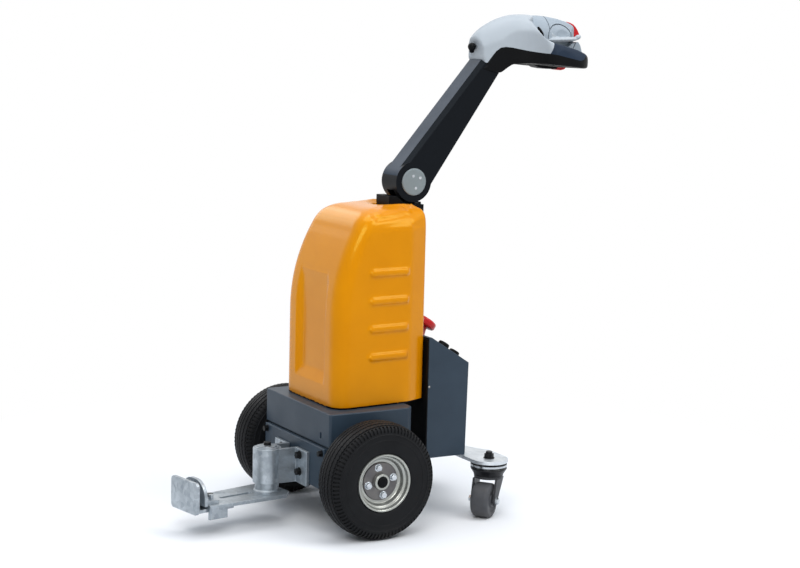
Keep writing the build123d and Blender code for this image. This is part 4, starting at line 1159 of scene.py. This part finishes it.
def part_loop(body):
    """Parts the loop into the light hood, the grips and the black shell that wraps their ends."""
    seam = on_head(HEAD_SEAM)
    seam.append((seam[-1][0], HEAD_HIGH))
    shell = copy_of(body, "tug_head_lower_shell")
    below = seam + [(HEAD_TO, HEAD_HIGH), (HEAD_TO, HEAD_LOW), (HEAD_FROM, HEAD_LOW), (HEAD_FROM, HEAD_Z)]
    cut(shell, side_prism("below_cutter", below, HEAD_REACH), "INTERSECT")
    above = seam + [(HEAD_FROM, HEAD_HIGH), (HEAD_FROM, HEAD_Z)]
    cut(body, side_prism("above_cutter", above, HEAD_REACH), "INTERSECT")
    grips = [copy_of(body, "tug_grip_" + side) for side in ("right", "left")]
    hood = copy_of(body, "tug_head_hood")
    bpy.data.objects.remove(body)
    for grip, sign, side in zip(grips, (-1, 1), ("right", "left")):
        cut(grip, side_band("grip_cutter", GRIP_SIDE, sign, GRIP_INNER, GRIP_OUTER), "INTERSECT")
        dress(grip, grip_rubber, "tiller", ["grip_" + side], smooth=50, weighted=False)
        cut(hood, side_band("grip_cutter", GRIP_SIDE, sign, GRIP_INNER, GRIP_OUTER))
    return shell, hood


def make_loop():
    shell, hood = part_loop(shape_loop())
    housing = side_prism("trigger_housing", TRIGGER_HOUSING, TRIGGER_HOUSING_HALF)
    shell = join([shell, blend([housing], "trigger_housing", 1.2, 10)], "tug_head_lower_shell")
    dress(shell, black_plastic, "tiller", ["head_lower_shell"], smooth=50, weighted=False)
    edit(hood)
    pick(lambda p, v: p.z > HOOD_CREST, "VERT")
    bpy.ops.transform.resize(value=(1, 1, HOOD_FLATTENING), center_override=place(480, 0, HOOD_CREST))
    close_piece()
    dress(hood, light_grey, "tiller", ["head_hood"], smooth=50, weighted=False)
    plug = ball("tug_neck_plug", place(*NECK_PLUG), (9.0, 11.0, 9.0))
    edit(plug)
    middle = place(NECK_PLUG[0], 0, NECK_PLUG_TAPER[0][0])
    for level, narrowing, drop in NECK_PLUG_TAPER:
        pick(lambda p, v: p.z < level, "VERT")
        bpy.ops.transform.resize(value=(1, narrowing, 1), center_override=middle)
        move(z=-drop)
    close_piece()
    dress(plug, black_plastic, "tiller", smooth=60, weighted=False)


def shape_console():
    """The console: its side outline cut to an arch and a rounded nose, with a dish on either side."""
    body = side_prism("console", CONSOLE_SIDE, CONSOLE_HALF)
    arch = [(0.0, CONSOLE_ARCH_BASE + CONSOLE_ARCH_RISE)]
    for step in range(1, 13):
        angle = radians(90 - 7.5 * step)
        arch.append((CONSOLE_ARCH_HALF * cos(angle), CONSOLE_ARCH_BASE + CONSOLE_ARCH_RISE * sin(angle)))
    cut(body, arch_prism("console_arch", [*arch, (CONSOLE_ARCH_HALF, 1040)], 440, 660), "INTERSECT")
    half, reach = CONSOLE_ARCH_HALF + 1, CONSOLE_NOSE - CONSOLE_NOSE_START
    nose = [(440, half)]
    for step in range(9):
        angle = radians(90 - 11.25 * step)
        nose.append((CONSOLE_NOSE_START + reach * cos(angle), half * sin(angle)))
    cut(body, plan_prism("console_plan", nose, 1030, 1160), "INTERSECT")
    bridge = side_prism("nose_bridge", BRIDGE_SIDE, BRIDGE_HALF)
    for sign in (1, -1):
        cut(body, side_ball("dish", sign, *CONSOLE_DISH))
    return blend([body, bridge], "tug_console", 1.6, 10)


def make_console():
    console = shape_console()
    for sign in (1, -1):
        centre = place(THROTTLE_X, 0, THROTTLE_Z)
        cut(console, turned("groove", THROTTLE_GROOVE, centre, (0, sign, 0), steps=72))
    cut(console, side_prism("seam_slab", SEAM_SLAB, CONSOLE_HALF))
    # the console takes the darker copy of the hood's grey: painted shade
    dress(console, console_shaded_grey, "tiller", ["console"], smooth=50, weighted=False)
    for side, sign in (("right", -1), ("left", 1)):
        parts = [side_ball(name, sign, *shape) for name, *shape in LEVER_PARTS]
        lever = blend(parts, "tug_throttle_lever_" + side, 1.2, 8)
        cut(lever, side_ball("thumb_dish", sign, *THUMB_DISH))
        dress(lever, light_grey, "tiller", ["throttle_levers"], smooth=60, weighted=False)
        leaf = side_ball("tug_rocker_" + side, sign, *ROCKER)
        dress(leaf, black_plastic, "tiller", smooth=60, weighted=False)
    belly = side_prism("tug_belly_button", BELLY_SIDE, BELLY_HALF)
    round_edges(belly, 2.4, 4, above=40)
    dress(belly, signal_red, "tiller", ["belly_button"])
    trigger = blend([side_prism("trigger", TRIGGER_SIDE, TRIGGER_HALF)], "tug_trigger", 0.9, 10)
    dress(trigger, signal_red, "tiller", ["trigger"], smooth=60, weighted=False)


make_loop()
make_console()


# Controls on the sloped face of the box

BOX_SLOPE = 0.665
SLOPE_START = (197.0, 409.5 + BOX_LIFT)
STOP_PROFILE = (
    # along the button's axis, radius
    (-0.5, 0), (-0.5, 22), (2.0, 22), (3.0, 20.8), (12.0, 17.2), (22.0, 14.6), (28.0, 14.2), (28.6, 24.0),
    (29.8, 28.2), (32.6, 30.0), (41.8, 30.0), (45.2, 28.0), (47.2, 23.0), (48.0, 13.0), (48.0, 0),
)
KEY_PROFILE = (
    (-0.5, 0), (-0.5, 15), (1.8, 15), (3.0, 13.8), (9.5, 13.4), (12.0, 12.2), (12.6, 10.2), (11.4, 8.6),
    (8.0, 8.2), (8.0, 0),
)
SOCKET_PROFILE = (
    (-0.5, 0), (-0.5, 14), (1.8, 14), (3.0, 13), (8.6, 12.6), (10.8, 11.4), (11.2, 9.6), (10.0, 8.2),
    (6.6, 8.0), (6.6, 0),
)
BARREL_PROFILE = ((7.5, 0), (7.5, 7.6), (9.6, 7.4), (9.9, 6.6), (9.9, 0))
SOCKET_PIN_PROFILE = ((6.2, 0), (6.2, 4.4), (8.6, 4.2), (8.9, 3.6), (8.9, 0))
SCREW_PROFILE = ((0, 0), (0, 2.8), (0.6, 2.6), (1.2, 1.6), (1.3, 0))
STOP_X = 219.0
KEY_X = 243.5
SOCKET_X = 272.5
SWITCH_Y = -80.0
BOX_SCREW = (193.0, 112.0, 300.0)


def on_slope(x, y):
    return place(x, y, SLOPE_START[1] - BOX_SLOPE * (x - SLOPE_START[0]))


def make_controls():
    up = (BOX_SLOPE, 0, 1)
    for name, x, y, profile, material, slot in (
        ("stop_button", STOP_X, 0, STOP_PROFILE, signal_red, "stop_button"),
        ("key_switch", KEY_X, SWITCH_Y, KEY_PROFILE, black_plastic, "black_trim"),
        ("charge_socket", SOCKET_X, SWITCH_Y, SOCKET_PROFILE, black_plastic, "black_trim"),
    ):
        piece = turned("tug_" + name, profile, on_slope(x, y), up, steps=56, closed=False)
        dress(piece, material, "chassis", [name], smooth=40)
    for name, x, profile, steps in (
        ("tug_key_barrel", KEY_X, BARREL_PROFILE, 32),
        ("tug_socket_pin", SOCKET_X, SOCKET_PIN_PROFILE, 24),
    ):
        insert = turned(name, profile, on_slope(x, SWITCH_Y), up, steps=steps, closed=False)
        dress(insert, bolt_zinc, "chassis")
    x, y, z = BOX_SCREW
    for side, sign in (("right", -1), ("left", 1)):
        spot = place(x, sign * y, z)
        screw = turned("tug_box_screw_" + side, SCREW_PROFILE, spot, (0, sign, 0), steps=20, closed=False)
        dress(screw, axle_steel, "chassis")


make_controls()


# Plain carried-over parts get their finish

for node_name, made in {
    "axle": axle_steel, "axle_bearings": drive_casting, "drive_unit": drive_casting, "battery": battery_case,
    "pivot_pin": axle_steel,
}.items():
    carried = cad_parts[node_name]
    carried.data.materials.clear()
    carried.data.materials.append(made)


# Hitch and castors

CASTOR_X = 328.0
CASTOR_Y = 163.0
CASTOR_TURN = radians(38.0)
CASTOR_TRAIL = 26.0
CASTOR_RADIUS = 40.0
PLATE_TOP = 133.0
HOUSING_PROFILE = (
    # height above the floor, radius
    (93.0, 0), (93.0, 32.4), (94.4, 34.0), (98.0, 34.6), (104.0, 38.4), (108.4, 41.2), (109.6, 42.0),
    (112.0, 42.0), (113.0, 40.8), (114.6, 40.8), (115.6, 42.0), (120.8, 42.0), (122.0, 41.0), (122.0, 12.0),
    (122.4, 7.4), (147.6, 7.4), (149.0, 6.0), (149.0, 0),
)
BAND_PROFILE = ((116.0, 41.0), (116.0, 42.3), (120.4, 42.3), (120.4, 41.0))
CASTOR_TREAD = (
    # along the castor's axle from its middle, radius
    (0, 6.05), (20.4, 6.05), (21.0, 7.0), (21.0, 14.0), (19.6, 15.4), (18.2, 17.0), (18.2, 25.0),
    (19.4, 26.8), (21.0, 27.6), (21.0, 33.6), (20.2, 36.4), (18.2, 38.6), (15.0, 39.7), (10.0, 40.0),
    (0, 40.0),
)
CASTOR_BOLT_OUT = 29.5
FLANGE_FACE = -101.0
FRONT_PLATE_FACE = -93.0
HITCH_PIN = (-159.0, 0.0)
HITCH_PIN_HEAD = 173.4
HITCH_TURN = radians(9.9)
DRAWBAR_TOP = 70.7
COLLAR_PROFILE = (
    # height above the floor, radius
    (DRAWBAR_TOP, 12.0), (DRAWBAR_TOP, 30.0), (72.4, 29.6), (75.0, 27.0), (79.0, 25.4), (89.4, 25.0),
    (89.4, 12.0),
)
FLANGE_BOLT_Y = 47.0
FLANGE_BOLT_ROWS = (("lower", 118.0), ("upper", 156.0))
PLATE_BOLT_Y = 138.0
PLATE_BOLT_Z = 178.0
SLEEVE_RING_PROFILE = ((169.0, 21.6), (169.0, 27.0), (170.6, 27.0), (171.2, 26.2), (171.2, 21.6))
UPWARDS = (0, 0, 1)
FORWARDS = (-1, 0, 0)


def make_castors():
    for side, sign in (("left", 1), ("right", -1)):
        body = "castor_" + side
        stem = place(CASTOR_X, sign * CASTOR_Y, 0)
        housing = turned("tug_castor_housing_" + side, HOUSING_PROFILE, stem, UPWARDS, steps=80, closed=False)
        dress(housing, housing_black, body, ["castor_housing_" + side], smooth=38)
        band = turned("tug_castor_band_" + side, BAND_PROFILE, stem, UPWARDS, steps=80)
        dress(band, bolt_zinc, body)
        spot = stem + Vector((0, 0, PLATE_TOP * MM))
        bolt("tug_castor_nut_" + side, spot, UPWARDS, (19.0, 9.0, 13.0), 0.0,
             black_bolt, "chassis")
        fork = softened("castor_fork_" + side, width=1.2, segments=3)
        dress(fork, castor_fork_grey, body, ["castor_fork_" + side])
        trail = Vector((-cos(CASTOR_TURN), -sin(CASTOR_TURN), 0))
        across = Vector((sin(CASTOR_TURN), -cos(CASTOR_TURN), 0))
        middle = stem + trail * CASTOR_TRAIL * MM + Vector((0, 0, CASTOR_RADIUS * MM))
        profile = list(CASTOR_TREAD) + [(-a, r) for a, r in reversed(CASTOR_TREAD[1:-1])]
        wheel = turned("tug_castor_wheel_" + side, profile, middle, across, steps=80)
        dress(wheel, castor_grey, "castor_wheel_" + side, ["castor_wheel_" + side], smooth=36)
        for flank in (1, -1):
            name = f"tug_castor_bolt_{side}_{'outer' if flank == sign else 'inner'}"
            spot = middle + across * flank * CASTOR_BOLT_OUT * MM
            bolt(name, spot, across * flank, (13.0, 4.5, 8.0), 0.4, bolt_zinc, body)


def make_hitch():
    bracket = softened("hitch_bracket", width=1.6, segments=3)
    dress(bracket, galvanised, "chassis", ["hitch_bracket"])
    pin = softened("hitch_pin", segments=3)
    dress(pin, [galvanised, black_bolt], "hitch", ["hitch_pin"])
    mark_faces(pin, lambda face: face.center.z / MM > HITCH_PIN_HEAD)
    foot = place(*HITCH_PIN, 0)
    along = Vector((cos(HITCH_TURN), sin(HITCH_TURN), 0))
    aside = Vector((-sin(HITCH_TURN), cos(HITCH_TURN), 0))
    # the drawbar's end and the inner jaw are moved along the drawbar to where the photograph has them
    for name, reach, shift in (
        ("drawbar", -128.0, 14.0),
        ("jaw_outer", 0.0, 0.0),
        ("jaw_inner", -172.0, -10.0),
    ):
        piece = softened(name, width=1.3, segments=3)
        for vertex in piece.data.vertices:
            if shift and (vertex.co - foot).dot(along) < reach * MM:
                vertex.co += along * shift * MM
        dress(piece, galvanised, "hitch", [name])
    collar = turned("tug_hitch_collar", COLLAR_PROFILE, foot, UPWARDS, steps=64)
    dress(collar, galvanised, "hitch", smooth=30)
    ring = turned("tug_sleeve_ring", SLEEVE_RING_PROFILE, foot, UPWARDS, steps=56)
    dress(ring, galvanised, "chassis", smooth=30)
    for side, sign in (("right", -1), ("left", 1)):
        for row, height in FLANGE_BOLT_ROWS:
            spot = place(FLANGE_FACE, sign * FLANGE_BOLT_Y, height)
            bolt(f"tug_flange_bolt_{side}_{row}", spot, FORWARDS, (15.0, 8.0, 9.6), 0.3,
                 black_bolt, "chassis")
        spot = place(FRONT_PLATE_FACE, sign * PLATE_BOLT_Y, PLATE_BOLT_Z)
        bolt("tug_plate_bolt_" + side, spot, FORWARDS, (12.0, 8.0, 8.0), 0.2,
             black_bolt, "chassis")
    spot = foot + (along * -153.0 + aside * 2.0) * MM + Vector((0, 0, DRAWBAR_TOP * MM))
    bolt("tug_jaw_bolt", spot, UPWARDS, (16.0, 12.0, 11.0), 0.2, black_bolt, "hitch")


plate = softened("castor_plate", width=1.2)
# the castor plate takes the lighter copy of the zinc: painted light
dress(plate, lit_plate_zinc, "chassis", ["castor_plate"])
make_castors()
make_hitch()


# Floor, lights and background, in metres

WHITE = (1, 1, 1, 1)
FLOOR_GREY = (0.86, 0.86, 0.86, 1)
FLOOR_RADIUS = 7.0
FADE_START = 0.62
FADE_END = 1.35
LAMP_SIZE = 2.4
LAMP_TARGET = Vector((0, 0, 0.5))
LAMPS = (
    # name, place, power in watts
    ("key", (-2.2, -2.8, 3.3), 74),
    ("front", (2.0, -2.2, 3.5), 52),
    ("top", (0.2, 0.2, 3.6), 40),
    ("back", (-0.6, 3.7, 2.7), 22),
)


def background_rays(tree):
    """One for the rays that show the background itself: to the camera, in metal and through glass."""
    path = node(tree, "LightPath").outputs
    seen = math(tree, "MAXIMUM", path["Is Camera Ray"], path["Is Transmission Ray"])
    return math(tree, "MAXIMUM", seen, path["Is Glossy Ray"])


def make_background():
    """A dim room under a broad bright ceiling, cool as daylight, and plain white where it shows."""
    world = bpy.data.worlds.new("studio")
    bpy.context.scene.world = world
    world.use_nodes = True
    tree = world.node_tree
    background = tree.nodes["Background"]
    seen = background_rays(tree)
    height = node(tree, "SeparateXYZ", {0: node(tree, "TexCoord").outputs["Generated"]}).outputs[2]
    sky = mix(tree, ramp(tree, height, 0.15, 0.75), (0.62, 0.64, 0.66, 1), (0.80, 0.88, 1.0, 1))
    glow = ramp(tree, height, 0.12, 0.8, 0.20, 1.0)
    strength = math(tree, "ADD", math(tree, "MULTIPLY", glow, math(tree, "SUBTRACT", 1.0, seen)), seen)
    feed(tree, background.inputs, {"Color": mix(tree, seen, sky, WHITE), "Strength": strength})


def make_floor():
    """A pale floor that fades to white away from the tug."""
    deselect()
    bpy.ops.mesh.primitive_circle_add(vertices=96, radius=FLOOR_RADIUS, fill_type="NGON", location=(0, 0, 0))
    floor = bpy.context.object
    floor.name = floor.data.name = "studio_floor"
    material, tree, shader = new_material("studio_floor")
    feed(tree, shader.inputs, {"Base Color": FLOOR_GREY, "Roughness": 0.75, "Specular IOR Level": 0.1})
    away = node(tree, "VectorMath", {0: node(tree, "TexCoord").outputs["Object"]}, operation="LENGTH")
    far = ramp(tree, away.outputs["Value"], FADE_START, FADE_END)
    white = node(tree, "Emission", {"Color": WHITE, "Strength": 1.0})
    faded = math(tree, "MULTIPLY", far, background_rays(tree))
    surface = node(tree, "MixShader", {0: faded, 1: shader.outputs[0], 2: white.outputs[0]})
    tree.links.new(surface.outputs[0], tree.nodes["Material Output"].inputs["Surface"])
    floor.data.materials.append(material)


def add_lamps():
    for name, spot, power in LAMPS:
        data = bpy.data.lights.new(name, "AREA")
        data.shape = "DISK"
        data.size = LAMP_SIZE
        data.energy = power
        lamp = bpy.data.objects.new(name, data)
        bpy.context.scene.collection.objects.link(lamp)
        lamp.location = spot
        lamp.rotation_euler = (LAMP_TARGET - Vector(spot)).to_track_quat("-Z", "Y").to_euler()


make_background()
make_floor()
add_lamps()
bpy.context.scene.view_settings.view_transform = "Standard"
